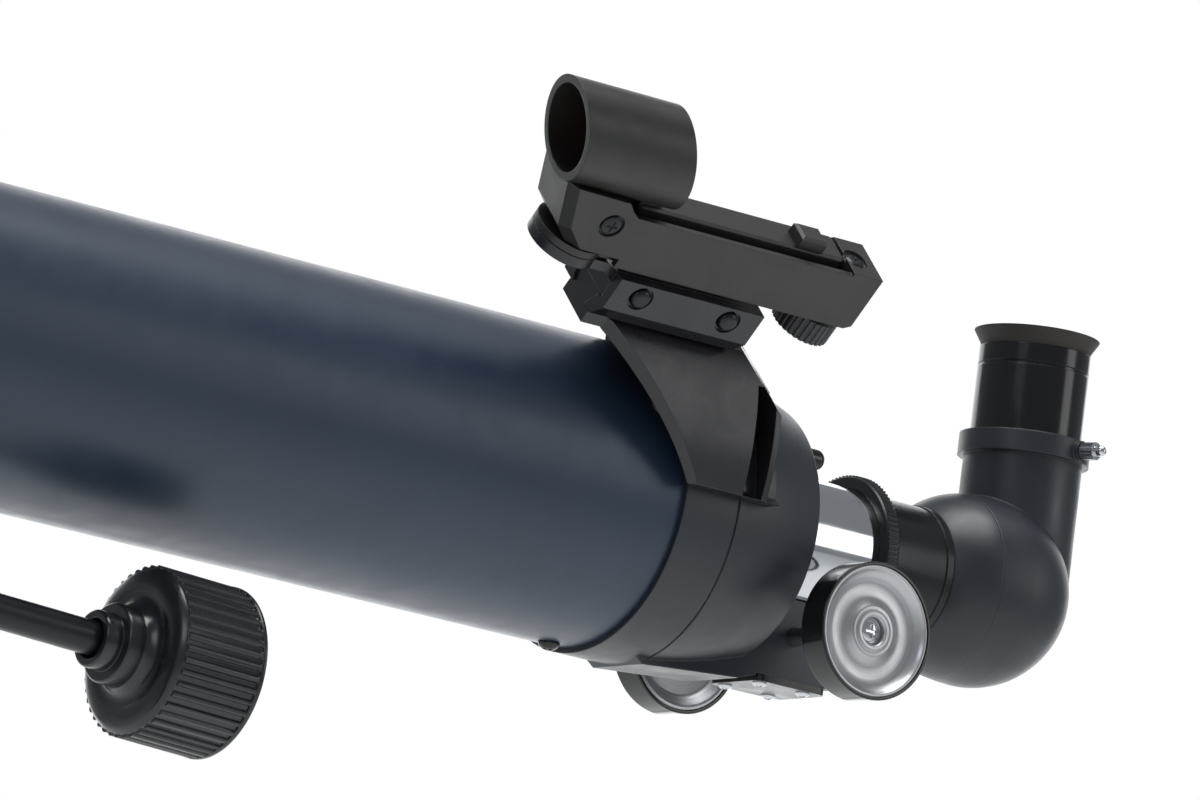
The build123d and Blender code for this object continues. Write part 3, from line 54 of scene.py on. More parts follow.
# These shape the corner mask, which lays wear and, on the bracket's nylon, a painted edge highlight too;
# unworn to worn means bare to fully lightened.
CORNER_TURN = (0.985, 0.8)  # cosine of the rounded corner's turn, from unworn to worn
CORNER_PATCHES = (0.38, 0.62)  # the noise that reaches from unworn to worn
EDGE_SHARE = 0.4  # most of an edge that one eased corner takes
LEAST_EASE = 0.02  # corners eased by less than this stay sharp, mm
NEARLY_STRAIGHT = 0.25  # corners that turn less than this stay as they are, radians
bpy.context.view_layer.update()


def linear(hex_colour: str) -> tuple[float, float, float, float]:
    """Turn an sRGB hex colour to linear RGBA.

    Args:
        hex_colour: Six hex digits, red first.

    Returns:
        The linear colour with full alpha.
    """
    parts = [int(hex_colour[start:start + 2], 16) / 255 for start in (0, 2, 4)]
    red, green, blue = (p / 12.92 if p <= 0.04045 else ((p + 0.055) / 1.055) ** 2.4 for p in parts)
    return (red, green, blue, 1.0)


def add_node(
    tree: bpy.types.NodeTree, kind: str, inputs: dict | None = None, **settings: object
) -> bpy.types.Node:
    """Add a node, set its properties and fill its inputs.

    Args:
        tree: The tree that takes the node.
        kind: The node's type name.
        inputs: Values or output sockets by input name or index.
        **settings: Properties of the node.

    Returns:
        The new node.
    """
    made = tree.nodes.new(kind)
    for name, value in settings.items():
        setattr(made, name, value)
    for key, value in (inputs or {}).items():
        if isinstance(value, bpy.types.NodeSocket):
            tree.links.new(value, made.inputs[key])
        else:
            made.inputs[key].default_value = value
    return made


class Making(Enum):
    """How a surface was made, which decides its fine relief."""

    MOULDED = "spark-eroded mould texture"
    SPRAYED = "sprayed lacquer with metal flake and orange peel"
    TURNED = "rings left by a lathe tool"
    PLATED = "buffed and plated, with hairlines"
    POLISHED = "optical or mirror polish with a little dust"


@dataclass(frozen=True)
class Finish:
    """One real material and the process that made its surface."""

    name: str
    slot: str
    colour: str
    making: Making
    roughness: float
    relief: float  # depth of the fine relief, mm
    grain: float  # size of the fine relief, mm
    metallic: float = 0.0
    ior: float = 1.5
    spread: float = 0.06  # how far the roughness wanders
    # Colour and most share of the corner mask: wear on most finishes, and on the bracket's nylon partly a
    # painted edge highlight.
    corner_wear_and_sheen_colour: str = "8A8A8A"
    corner_wear_and_sheen: float = 0.25
    edge: float = 0.4  # softened edge, mm
    coat: float = 0.0
    coat_roughness: float = 0.05
    transmission: float = 0.0
    shade: float = 0.12  # how far the colour drifts from place to place
    centre: tuple[float, float, float] = (0.0, 0.0, 0.0)
    axis: tuple[float, float, float] = (1.0, 0.0, 0.0)

    def build(self) -> bpy.types.Material:
        """Build the material's nodes.

        Returns:
            The finished material.
        """
        material = bpy.data.materials.new(self.name)
        material.use_nodes = True
        tree = material.node_tree
        tree.nodes.clear()
        place = add_node(tree, "ShaderNodeTexCoord").outputs["Object"]
        height = self._relief(tree, place)
        bevel = add_node(tree, "ShaderNodeBevel", {"Radius": self.edge * MM}, samples=4)
        bump = add_node(
            tree, "ShaderNodeBump",
            {"Height": height, "Distance": self.relief * MM, "Strength": 1.0, "Normal": bevel.outputs[0]},
        )
        clouds = add_node(
            tree, "ShaderNodeTexNoise",
            {"Vector": place, "Scale": DRIFT_PER_METRE, "Detail": 4.0, "Roughness": 0.62},
        )
        # Corners take the pale corner colour: real wear, and on the bracket's nylon also a painted edge
        # highlight.
        wear_and_sheen_mask = self._corner_wear_and_sheen(tree, bevel, clouds)
        base = linear(self.colour)
        low = tuple(c * (1 - self.shade) for c in base[:3]) + (1.0,)
        high = tuple(min(1.0, c * (1 + self.shade)) for c in base[:3]) + (1.0,)
        drift = add_node(
            tree, "ShaderNodeMix",
            {0: height if self.making is Making.TURNED else clouds.outputs[0], 6: low, 7: high},
            data_type="RGBA",
        )
        colour = add_node(
            tree, "ShaderNodeMix",
            {0: wear_and_sheen_mask, 6: drift.outputs[2], 7: linear(self.corner_wear_and_sheen_colour)}, data_type="RGBA",
        )
        smears = add_node(
            tree, "ShaderNodeTexNoise",
            {"Vector": place, "Scale": SMEARS_PER_METRE, "Detail": 5.0, "Distortion": 0.6},
        )
        rough = add_node(
            tree, "ShaderNodeMapRange",
            {
                "Value": smears.outputs[0], "From Min": SMEAR_CONTRAST[0],
                "From Max": SMEAR_CONTRAST[1],
                "To Min": max(0.02, self.roughness - self.spread), "To Max": self.roughness + self.spread,
            },
        )
        rubbed = add_node(
            tree, "ShaderNodeMix", {0: wear_and_sheen_mask, 2: rough.outputs[0], 3: min(0.6, self.roughness + 0.1)}
        )
        shader = add_node(
            tree, "ShaderNodeBsdfPrincipled",
            {
                "Base Color": colour.outputs[2], "Metallic": self.metallic, "Roughness": rubbed.outputs[0],
                "IOR": self.ior, "Normal": bump.outputs[0], "Coat Weight": self.coat,
                "Coat Roughness": self.coat_roughness, "Transmission Weight": self.transmission,
            },
        )
        add_node(tree, "ShaderNodeOutputMaterial", {"Surface": shader.outputs[0]})
        return material

    def _corner_wear_and_sheen(
        self, tree: bpy.types.NodeTree, bevel: bpy.types.Node, clouds: bpy.types.Node
    ) -> bpy.types.NodeSocket:
        """Find the corners, where hands and tools rub and where some finishes take a painted edge highlight.

        Args:
            tree: The material's tree.
            bevel: The node that rounds the normal near corners.
            clouds: Noise that breaks up the wear and the painted edge highlight.

        Returns:
            The share of wear and painted edge highlight, from 0 to the finish's own most.
        """
        normal = add_node(tree, "ShaderNodeNewGeometry").outputs["Normal"]
        turn = add_node(
            tree, "ShaderNodeVectorMath", {0: bevel.outputs[0], 1: normal}, operation="DOT_PRODUCT"
        )
        corner = add_node(
            tree, "ShaderNodeMapRange",
            {
                "Value": turn.outputs["Value"], "From Min": CORNER_TURN[0], "From Max": CORNER_TURN[1],
                "To Min": 0.0, "To Max": self.corner_wear_and_sheen,
            },
        )
        patchy = add_node(
            tree, "ShaderNodeMapRange",
            {"Value": clouds.outputs[0], "From Min": CORNER_PATCHES[0], "From Max": CORNER_PATCHES[1]},
        )
        return add_node(
            tree, "ShaderNodeMath", {0: corner.outputs[0], 1: patchy.outputs[0]}, operation="MULTIPLY"
        ).outputs[0]

    def _relief(self, tree: bpy.types.NodeTree, place: bpy.types.NodeSocket) -> bpy.types.NodeSocket:
        """Draw the fine relief that the making leaves.

        Args:
            tree: The material's tree.
            place: Object coordinates in metres.

        Returns:
            A height from 0 to 1.
        """
        per_metre = 1 / (self.grain * MM)
        if self.making is Making.TURNED:
            away = add_node(tree, "ShaderNodeVectorMath", {0: place, 1: self.centre}, operation="SUBTRACT")
            along = add_node(
                tree, "ShaderNodeVectorMath", {0: away.outputs[0], 1: self.axis}, operation="DOT_PRODUCT"
            )
            flat = add_node(
                tree, "ShaderNodeVectorMath", {0: away.outputs[0], 1: self.axis}, operation="CROSS_PRODUCT"
            )
            out = add_node(tree, "ShaderNodeVectorMath", {0: flat.outputs[0]}, operation="LENGTH")
            tool = add_node(tree, "ShaderNodeMath", {0: along.outputs["Value"], 1: out.outputs["Value"]})
            return add_node(
                tree, "ShaderNodeTexNoise", {"W": tool.outputs[0], "Scale": per_metre, "Detail": 3.0},
                noise_dimensions="1D",
            ).outputs[0]
        if self.making is Making.SPRAYED:
            flake = add_node(tree, "ShaderNodeTexVoronoi", {"Vector": place, "Scale": per_metre})
            peel = add_node(
                tree, "ShaderNodeTexNoise", {"Vector": place, "Scale": per_metre / 4, "Detail": 1.0}
            )
            return add_node(
                tree, "ShaderNodeMix", {0: 0.5, 2: flake.outputs["Distance"], 3: peel.outputs[0]}
            ).outputs[0]
        detail = 2.0 if self.making is Making.MOULDED else 6.0
        stretch = (1.0, 1.0, 1.0) if self.making is Making.MOULDED else (0.06, 1.0, 1.0)
        lay = add_node(tree, "ShaderNodeMapping", {"Vector": place, "Scale": stretch})
        return add_node(
            tree, "ShaderNodeTexNoise", {"Vector": lay.outputs[0], "Scale": per_metre, "Detail": detail}
        ).outputs[0]


@dataclass
class Paintshop:
    """Builds each finish once and keeps it."""

    made: dict[Finish, bpy.types.Material] = field(default_factory=dict)

    def material(self, finish: Finish) -> bpy.types.Material:
        """Give a finish's material, built on its first use.

        Args:
            finish: The finish wanted.

        Returns:
            Its material.
        """
        if finish not in self.made:
            self.made[finish] = finish.build()
        return self.made[finish]


# Enamel sprayed over an aluminium tube: navy with fine flake under a clear coat, so the edges of
# the tube glow softly and the middle stays dark.
NAVY_LACQUER = Finish(
    "sprayed_metallic_lacquer", "navy_paint", "202F42", Making.SPRAYED, roughness=0.42, relief=0.01,
    grain=0.6, metallic=0.3, coat=0.35, coat_roughness=0.3, corner_wear_and_sheen_colour="59606E", corner_wear_and_sheen=0.3, edge=0.5,
    shade=0.1,
)
# ABS out of a spark-eroded mould: a blue-black satin with soft broad highlights.
HOUSING_ABS = Finish(
    "satin_moulded_abs", "housing_plastic", "1A2028", Making.MOULDED, roughness=0.4, relief=0.012,
    grain=0.5, ior=1.53, corner_wear_and_sheen_colour="5B6068", corner_wear_and_sheen=0.35, edge=0.8,
)
# Glass-filled nylon, injection moulded: harder and shinier than the ABS. Its pale corners are partly worn
# plastic and partly a painted edge highlight, which gives the bright crisp edges.
BRACKET_NYLON = Finish(
    "moulded_glass_filled_nylon", "black_plastic", "17171A", Making.MOULDED, roughness=0.3,
    relief=0.012, grain=0.35, ior=1.53, corner_wear_and_sheen_colour="6A6B70", corner_wear_and_sheen=0.35, edge=0.4,
)
# ABS with a finer mould texture: charcoal, matt and even.
FINDER_ABS = Finish(
    "matt_moulded_abs", "finder_plastic", "1D1C1A", Making.MOULDED, roughness=0.42, relief=0.012,
    grain=0.3, ior=1.53, corner_wear_and_sheen_colour="605F5E", corner_wear_and_sheen=0.25, edge=0.5,
)
# Polished acetal knobs: deep black with sharp small highlights.
GLOSS_ACETAL = Finish(
    "polished_moulded_acetal", "gloss_black", "0B0B0D", Making.POLISHED, roughness=0.16, relief=0.002,
    grain=0.8, ior=1.48, corner_wear_and_sheen_colour="3C3C40", corner_wear_and_sheen=0.3, edge=0.4, spread=0.05,
)
# Black anodised aluminium: a dark satin that shows turning lines where it catches the light.
BLACK_ANODISED = Finish(
    "black_anodised_aluminium", "black_metal", "141518", Making.PLATED, roughness=0.3, relief=0.004,
    grain=0.4, metallic=0.3, corner_wear_and_sheen_colour="6C6F74", corner_wear_and_sheen=0.5, edge=0.35,
)
# Chrome plate on brass: a mirror that takes its look from the studio, with faint hairlines.
CHROME_PLATE = Finish(
    "buffed_chrome_plate", "chrome", "C9CCD0", Making.PLATED, roughness=0.09, relief=0.0012, grain=0.35,
    metallic=1.0, corner_wear_and_sheen_colour="A9A79E", corner_wear_and_sheen=0.3, edge=0.25, spread=0.04, shade=0.04,
)
# Zinc-plated steel screws and shafts: grey and less clear than chrome.
PLATED_STEEL = Finish(
    "zinc_plated_steel", "steel", "A6A8AB", Making.PLATED, roughness=0.26, relief=0.003, grain=0.3,
    metallic=1.0, corner_wear_and_sheen_colour="7C7A75", corner_wear_and_sheen=0.4, edge=0.2,
)
# Vulcanised rubber: brown-black and matt, a little paler along its folded edges.
EYECUP_RUBBER = Finish(
    "moulded_vulcanised_rubber", "eyecup_rubber", "2C2825", Making.MOULDED, roughness=0.68, relief=0.02,
    grain=0.35, ior=1.52, corner_wear_and_sheen_colour="4A453F", corner_wear_and_sheen=0.4, edge=0.5,
)
# Coated crown and flint glass, polished: clear with a faint cool tint.
LENS_GLASS = Finish(
    "polished_optical_glass", "lens_glass", "DCEBF0", Making.POLISHED, roughness=0.03, relief=0.0002,
    grain=2.0, ior=1.52, transmission=1.0, spread=0.01, corner_wear_and_sheen=0.05, corner_wear_and_sheen_colour="FFFFFF", edge=0.1,
    shade=0.01,
)
# A dichroic window: dark red where the room shows through it.
RED_WINDOW = Finish(
    "dichroic_coated_glass", "window_glass", "6E1A15", Making.POLISHED, roughness=0.14, relief=0.0002,
    grain=2.0, ior=1.52, transmission=0.15, spread=0.02, corner_wear_and_sheen=0.05, corner_wear_and_sheen_colour="A05050", edge=0.1,
    shade=0.03,
)
# Moulded phenolic grip: glossy black, with soft highlights along its flutes.
GRIP_PHENOLIC = Finish(
    "polished_moulded_phenolic", "handle_black", "17181A", Making.POLISHED, roughness=0.24,
    relief=0.003, grain=0.9, ior=1.56, corner_wear_and_sheen_colour="4C4D50", corner_wear_and_sheen=0.35, edge=0.5, spread=0.07,
)


def turned_aluminium(centre: Vector, axis: tuple[float, float, float]) -> Finish:
    """Bare aluminium faced on a lathe: fine rings round its own axis that spread each highlight.

    Args:
        centre: A point on the lathe's axis, metres.
        axis: The lathe's axis.

    Returns:
        The finish, with its rings centred.
    """
    return Finish(
        "lathe_turned_aluminium", "turned_aluminium", "B4B5B8", Making.TURNED, roughness=0.36,
        relief=0.008, grain=0.5, metallic=1.0, corner_wear_and_sheen_colour="7B7A78", corner_wear_and_sheen=0.3, edge=0.3, shade=0.2,
        centre=tuple(centre), axis=axis,
    )


def mesh_piece(name: str, mesh: bpy.types.Mesh) -> bpy.types.Object:
    """Put a mesh in the scene as an unmoved piece.

    Args:
        name: The piece's name.
        mesh: Its mesh, already in place.

    Returns:
        The new object.
    """
    piece = bpy.data.objects.new(name, mesh)
    bpy.context.scene.collection.objects.link(piece)
    return piece


def set_shading(mesh: bpy.types.Mesh, sharp_degrees: float = 32.0) -> None:
    """Shade a mesh smooth with crisp corners.

    Args:
        mesh: The mesh.
        sharp_degrees: Corners sharper than this stay crisp.
    """
    mesh.shade_smooth()
    mesh.set_sharp_from_angle(angle=math.radians(sharp_degrees))


def stand_on(origin: Vector, direction: Vector) -> Matrix:
    """Give the placing that turns +Z to a direction.

    Args:
        origin: Where the local origin goes, metres.
        direction: Where local +Z points.

    Returns:
        The 4x4 matrix.
    """
    return Matrix.Translation(origin) @ direction.normalized().to_track_quat("Z", "Y").to_matrix().to_4x4()


def eased(profile: Profile, radius: float, steps: int = 3) -> list[tuple[float, float]]:
    """Round the corners of a closed profile.

    Args:
        profile: Corners as (along, out), mm.
        radius: Most that a corner is eased, mm.
        steps: Short edges in each round.

    Returns:
        The eased profile.
    """
    eased_points: list[tuple[float, float]] = []
    count = len(profile)
    for index in range(count):
        before, here, after = (Vector(profile[(index + shift) % count]) for shift in (-1, 0, 1))
        back, on = before - here, after - here
        reach = min(radius, back.length * EDGE_SHARE, on.length * EDGE_SHARE)
        on_axis = abs(here.y) < 1e-6
        if on_axis or reach < LEAST_EASE or abs(back.angle(on) - math.pi) < NEARLY_STRAIGHT:
            eased_points.append(tuple(here))
            continue
        start, end = here + back.normalized() * reach, here + on.normalized() * reach
        for step in range(steps + 1):
            share = step / steps
            mixed = start * (1 - share) ** 2 + here * 2 * share * (1 - share) + end * share ** 2
            eased_points.append(tuple(mixed))
    return eased_points


def lathe(profile: Profile, placing: Matrix, segments: int = 128) -> bpy.types.Mesh:
    """Turn a closed profile about local +Z.

    Args:
        profile: Corners as (along, out), mm, going round once.
        placing: Puts the local frame in the row frame.
        segments: Steps round the axis.

    Returns:
        A closed mesh with its faces outwards.
    """
    shape = bmesh.new()
    rings = []
    for along, out in profile:
        ring = []
        for step in range(segments):
            angle = 2 * math.pi * step / segments
            place = (out * MM * math.cos(angle), out * MM * math.sin(angle), along * MM)
            ring.append(shape.verts.new(place))
        rings.append(ring)
    for index, ring in enumerate(rings):
        following = rings[(index + 1) % len(rings)]
        for step in range(segments):
            beside = (step + 1) % segments
            shape.faces.new((ring[step], ring[beside], following[beside], following[step]))
    bmesh.ops.remove_doubles(shape, verts=shape.verts, dist=1e-7)
    bmesh.ops.recalc_face_normals(shape, faces=shape.faces)
    shape.transform(placing)
    mesh = bpy.data.meshes.new("turned")
    shape.to_mesh(mesh)
    shape.free()
    set_shading(mesh)
    return mesh


@dataclass
class Jig:
    """A Geometry Nodes tree with named inputs that makes one kind of repeated detail."""

    name: str
    tree: bpy.types.NodeTree = None
    sockets: dict[str, str] = field(default_factory=dict)

    def open(self, sizes: Sequence[str]) -> bpy.types.Node:
        """Start the tree with its named inputs.

        Args:
            sizes: Names of the sizes, all floats.

        Returns:
            The group's input node.
        """
        self.tree = bpy.data.node_groups.new(self.name, "GeometryNodeTree")
        self.tree.interface.new_socket("Geometry", in_out="INPUT", socket_type="NodeSocketGeometry")
        for size in sizes:
            made = self.tree.interface.new_socket(size, in_out="INPUT", socket_type="NodeSocketFloat")
            self.sockets[size] = made.identifier
        finish = self.tree.interface.new_socket("Finish", in_out="INPUT", socket_type="NodeSocketMaterial")
        self.sockets["Finish"] = finish.identifier
        self.tree.interface.new_socket("Geometry", in_out="OUTPUT", socket_type="NodeSocketGeometry")
        return add_node(self.tree, "NodeGroupInput")

    def close(self, start: bpy.types.Node, instances: bpy.types.NodeSocket) -> None:
        """End the tree in realised instances with their material.

        Args:
            start: The group's input node.
            instances: The geometry to finish.
        """
        real = add_node(self.tree, "GeometryNodeRealizeInstances", {"Geometry": instances})
        painted = add_node(
            self.tree, "GeometryNodeSetMaterial",
            {"Geometry": real.outputs[0], "Material": start.outputs["Finish"]},
        )
        add_node(self.tree, "NodeGroupOutput", {0: painted.outputs[0]})

    def run(self, seed_mesh: bpy.types.Mesh, material: bpy.types.Material, **sizes: float) -> bpy.types.Mesh:
        """Run the tree on a mesh and keep the plain result.

        Args:
            seed_mesh: The mesh it starts from.
            material: The finish of what it makes.
            **sizes: Each named size, with _ for a space.

        Returns:
            The plain mesh.
        """
        holder = mesh_piece(self.name + "_seed", seed_mesh)
        modifier = holder.modifiers.new(self.name, "NODES")
        modifier.node_group = self.tree
        modifier[self.sockets["Finish"]] = material
        for size, value in sizes.items():
            modifier[self.sockets[size.replace("_", " ")]] = float(value)
        bpy.context.view_layer.update()
        evaluated = holder.evaluated_get(bpy.context.evaluated_depsgraph_get())
        mesh = bpy.data.meshes.new_from_object(evaluated)
        holder.modifiers.clear()
        bpy.data.objects.remove(holder)
        set_shading(mesh)
        return mesh


class ScrewJig(Jig):
    """Domed screws with a cross recess, one on each seed point along its facing attribute."""

    def __init__(self) -> None:
        """Build the tree."""
        super().__init__("cross_recess_screws")
        start = self.open(["Head Radius", "Head Height", "Shank Radius", "Shank Length", "Recess Width"])
        size = start.outputs
        add = self._add
        squash = add("ShaderNodeMath", {0: size["Head Height"], 1: size["Head Radius"]}, operation="DIVIDE")
        flat = add("ShaderNodeCombineXYZ", {0: 1.0, 1: 1.0, 2: squash.outputs[0]})
        ball = add("GeometryNodeMeshUVSphere", {"Segments": 32, "Rings": 20, "Radius": size["Head Radius"]})
        dome = add("GeometryNodeTransform", {"Geometry": ball.outputs[0], "Scale": flat.outputs[0]})
        wide = self._scaled(size["Head Radius"], 4.0)
        cutter = add("GeometryNodeMeshCube", {"Size": self._vector(wide, wide, wide)})
        below = self._vector(0.0, 0.0, self._scaled(size["Head Radius"], -2.0))
        sunk = add("GeometryNodeTransform", {"Geometry": cutter.outputs[0], "Translation": below})
        half = self._cut(dome.outputs[0], sunk.outputs[0])
        past_rim = 1.1
        long = self._scaled(size["Head Radius"], past_rim)
        deep = self._scaled(size["Head Height"], past_rim)
        bar = add("GeometryNodeMeshCube", {"Size": self._vector(long, size["Recess Width"], deep)})
        raised = self._vector(0.0, 0.0, size["Head Height"])
        across = add("GeometryNodeTransform", {"Geometry": bar.outputs[0], "Translation": raised})
        crossed = add(
            "GeometryNodeTransform",
            {"Geometry": across.outputs[0], "Rotation": (0.0, 0.0, math.pi / 2)},
        )
        slotted = self._cut(half, across.outputs[0])
        recessed = self._cut(slotted, crossed.outputs[0])
        shank = add(
            "GeometryNodeMeshCylinder",
            {"Vertices": 20, "Radius": size["Shank Radius"], "Depth": size["Shank Length"]},
        )
        just_in_head = -0.49
        lowered = self._vector(0.0, 0.0, self._scaled(size["Shank Length"], just_in_head))
        stem = add("GeometryNodeTransform", {"Geometry": shank.outputs[0], "Translation": lowered})
        whole = add("GeometryNodeJoinGeometry", {0: recessed})
        self.tree.links.new(stem.outputs[0], whole.inputs[0])
        facing = add("GeometryNodeInputNamedAttribute", {"Name": "facing"}, data_type="FLOAT_VECTOR")
        turn = add("FunctionNodeAlignRotationToVector", {"Vector": facing.outputs[0]}, axis="Z")
        placed = add(
            "GeometryNodeInstanceOnPoints",
            {"Points": size["Geometry"], "Instance": whole.outputs[0], "Rotation": turn.outputs[0]},
        )
        self.close(start, placed.outputs[0])

    def _add(self, kind: str, inputs: dict | None = None, **settings: object) -> bpy.types.Node:
        """Add a node to this tree."""
        return add_node(self.tree, kind, inputs, **settings)

    def _scaled(self, size: bpy.types.NodeSocket, times: float) -> bpy.types.NodeSocket:
        """Multiply a size."""
        return self._add("ShaderNodeMath", {0: size, 1: times}, operation="MULTIPLY").outputs[0]

    def _vector(self, *parts: object) -> bpy.types.NodeSocket:
        """Join three sizes in a vector."""
        return self._add("ShaderNodeCombineXYZ", dict(enumerate(parts))).outputs[0]

    def _cut(self, body: bpy.types.NodeSocket, tool: bpy.types.NodeSocket) -> bpy.types.NodeSocket:
        """Cut a tool's shape out of a body."""
        return self._add(
            "GeometryNodeMeshBoolean", {0: body, 1: tool}, operation="DIFFERENCE", solver="EXACT"
        ).outputs[0]

    def drive(
        self, seats: Sequence[tuple[Vector, Vector]], material: bpy.types.Material, **sizes: float
    ) -> bpy.types.Mesh:
        """Put a screw on each seat.

        Args:
            seats: Each seat's place and the way its head faces, metres.
            material: The screws' finish.
            **sizes: The screw's sizes, mm.

        Returns:
            All the screws as one mesh.
        """
        points = bpy.data.meshes.new("seats")
        points.from_pydata([place for place, _ in seats], [], [])
        facing = points.attributes.new("facing", "FLOAT_VECTOR", "POINT")
        for index, (_, way) in enumerate(seats):
            facing.data[index].vector = way.normalized()
        return self.run(points, material, **{name: value * MM for name, value in sizes.items()})


class RibJig(Jig):
    """Ribs that follow the rim of a ring, even or uneven in width."""

    def __init__(self) -> None:
        """Build the tree."""
        super().__init__("ribs_round_a_rim")
        start = self.open(["Length", "Rib Width", "Rib Height", "Uneven", "Widest"])
        size = start.outputs
        tree = self.tree
        half_width = add_node(tree, "ShaderNodeMath", {0: size["Rib Width"], 1: 0.5}, operation="MULTIPLY")
        shape = add_node(
            tree, "ShaderNodeCombineXYZ", {0: size["Rib Height"], 1: half_width.outputs[0], 2: size["Length"]}
        )
        bar = add_node(tree, "GeometryNodeMeshCylinder", {"Vertices": 10, "Radius": 1.0, "Depth": 1.0})
        rib = add_node(tree, "GeometryNodeTransform", {"Geometry": bar.outputs[0], "Scale": shape.outputs[0]})
        place = add_node(tree, "GeometryNodeInputPosition")
        turn = add_node(
            tree, "FunctionNodeAlignRotationToVector", {"Vector": place.outputs[0]}, axis="X", pivot_axis="Z"
        )
        least = add_node(tree, "ShaderNodeMath", {0: 1.0, 1: size["Uneven"]}, operation="SUBTRACT")
        wander = add_node(tree, "FunctionNodeRandomValue", {"Seed": 11}, data_type="FLOAT")
        tree.links.new(least.outputs[0], wander.inputs[2])
        tree.links.new(size["Widest"], wander.inputs[3])
        widths = add_node(tree, "ShaderNodeCombineXYZ", {0: 1.0, 1: wander.outputs[1], 2: 1.0})
        placed = add_node(
            tree, "GeometryNodeInstanceOnPoints",
            {
                "Points": size["Geometry"], "Instance": rib.outputs[0],
                "Rotation": turn.outputs[0], "Scale": widths.outputs[0],
            },
        )
        self.close(start, placed.outputs[0])

    def rim(
        self, radius: float, count: int, placing: Matrix, material: bpy.types.Material,
        length: float, width: float, height: float, uneven: float = 0.0,
    ) -> bpy.types.Mesh:
        """Set ribs round a rim about local +Z.

        Args:
            radius: Radius at the ribs' feet, mm.
            count: How many ribs.
            placing: Puts the local frame in the row frame.
            material: The ribs' finish.
            length: Length of a rib along the axis, mm.
            width: Width of a rib, mm.
            height: How far a rib stands out, mm.
            uneven: How far the widths wander, 0 to 1.

        Returns:
            The ribs in place.
        """
        points = bpy.data.meshes.new("rim")
        turns = [2 * math.pi * index / count for index in range(count)]
        points.from_pydata(
            [(radius * MM * math.cos(t), radius * MM * math.sin(t), 0.0) for t in turns], [], []
        )
        mesh = self.run(
            points, material, Length=length * MM, Rib_Width=width * MM, Rib_Height=height * MM,
            Uneven=uneven, Widest=1.0 + uneven * 0.5,
        )
        mesh.transform(placing)
        return mesh


def islands(node: str) -> list[list[Vector]]:
    """Split a CAD node in its separate solids.

    Args:
        node: The node's name.

    Returns:
        The corners of each solid, metres, with the solids in the order of the node's own corners.
    """
    shape = bmesh.new()
    shape.from_mesh(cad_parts[node].data)
    bmesh.ops.remove_doubles(shape, verts=shape.verts, dist=1e-6)
    waiting = set(shape.verts)
    found = []
    for first in shape.verts:
        if first not in waiting:
            continue
        waiting.remove(first)
        edge = [first]
        group = []
        while edge:
            corner = edge.pop()
            group.append(corner.co.copy())
            beside = {link.other_vert(corner) for link in corner.link_edges} & waiting
            waiting -= beside
            edge.extend(beside)
        found.append(group)
    shape.free()
    return found


def middle_of(points: Sequence[Vector]) -> Vector:
    """Give the middle of the box round some points."""
    return Vector([(min(p[axis] for p in points) + max(p[axis] for p in points)) / 2 for axis in range(3)])


def joined(name: str, meshes: Sequence[bpy.types.Mesh]) -> bpy.types.Mesh:
    """Join meshes that share one finish.

    Args:
        name: Name of the result.
        meshes: The meshes, each in place.

    Returns:
        One mesh.
    """
    shape = bmesh.new()
    for mesh in meshes:
        shape.from_mesh(mesh)
    for face in shape.faces:
        face.material_index = 0
    whole = bpy.data.meshes.new(name)
    shape.to_mesh(whole)
    shape.free()
    set_shading(whole)
    return whole


@dataclass
class SubAssembly:
    """Pieces that belong together, with what they need to be dressed."""

    paintshop: Paintshop
    screws: ScrewJig
    ribs: RibJig

    def dress(self, finish: Finish, *nodes: str) -> None:
        """Give CAD nodes their finish.

        Args:
            finish: The finish.
            *nodes: Names of the CAD nodes.
        """
        for name in nodes:
            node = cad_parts[name]
            node.data.materials.clear()
            node.data.materials.append(self.paintshop.material(finish))
            LOG.info("dressed %s in %s", name, finish.name)

    def cross_heads(
        self, node: str, facing: Callable[[Vector], Vector], finish: Finish, body: str, height: float,
        recess: float,
    ) -> None:
        """Build cross-recess screws in place of a CAD node's plain ones.

        Args:
            node: The CAD node.
            facing: Gives the way a screw's head faces from the screw's middle.
            finish: The screws' finish.
            body: The CAD body that they move with.
            height: Height of a head's dome, mm.
            recess: Width of a recess, mm.
        """
        heads = []
        for solid in islands(node):
            way = facing(middle_of(solid)).normalized()
            turn = way.to_track_quat("Z", "Y").inverted()
            turned = [turn @ point for point in solid]
            centre = middle_of(turned)
            top = max(point.z for point in turned)
            radius = max(point.x for point in turned) - centre.x
            seat = turn.inverted() @ Vector((centre.x, centre.y, top - height * MM))
            heads.append(self.screws.drive(
                [(seat, way)], self.paintshop.material(finish), Head_Radius=radius / MM, Head_Height=height,
                Shank_Radius=1.2, Shank_Length=2.4, Recess_Width=recess,
            ))
        self.fit(node + "_crossed", joined(node, heads), finish, body, node)

    def fit(
        self, name: str, mesh: bpy.types.Mesh, finish: Finish, body: str, *replaced: str
    ) -> bpy.types.Object:
        """Finish a new piece and fix it to its body.

        Args:
            name: The piece's name.
            mesh: Its mesh, in place.
            finish: Its finish.
            body: The CAD body that it moves with.
            *replaced: CAD nodes that it stands for.

        Returns:
            The piece.
        """
        mesh.materials.clear()
        mesh.materials.append(self.paintshop.material(finish))
        piece = mesh_piece(name, mesh)
        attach(piece, body)
        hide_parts(*replaced)
        LOG.info("built %s on %s: %d faces", name, body, len(mesh.polygons))
        return piece


def axis_height() -> float:
    """Give the height of the optical axis, metres."""
    low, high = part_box("main_tube")
    return (low.z + high.z) / 2


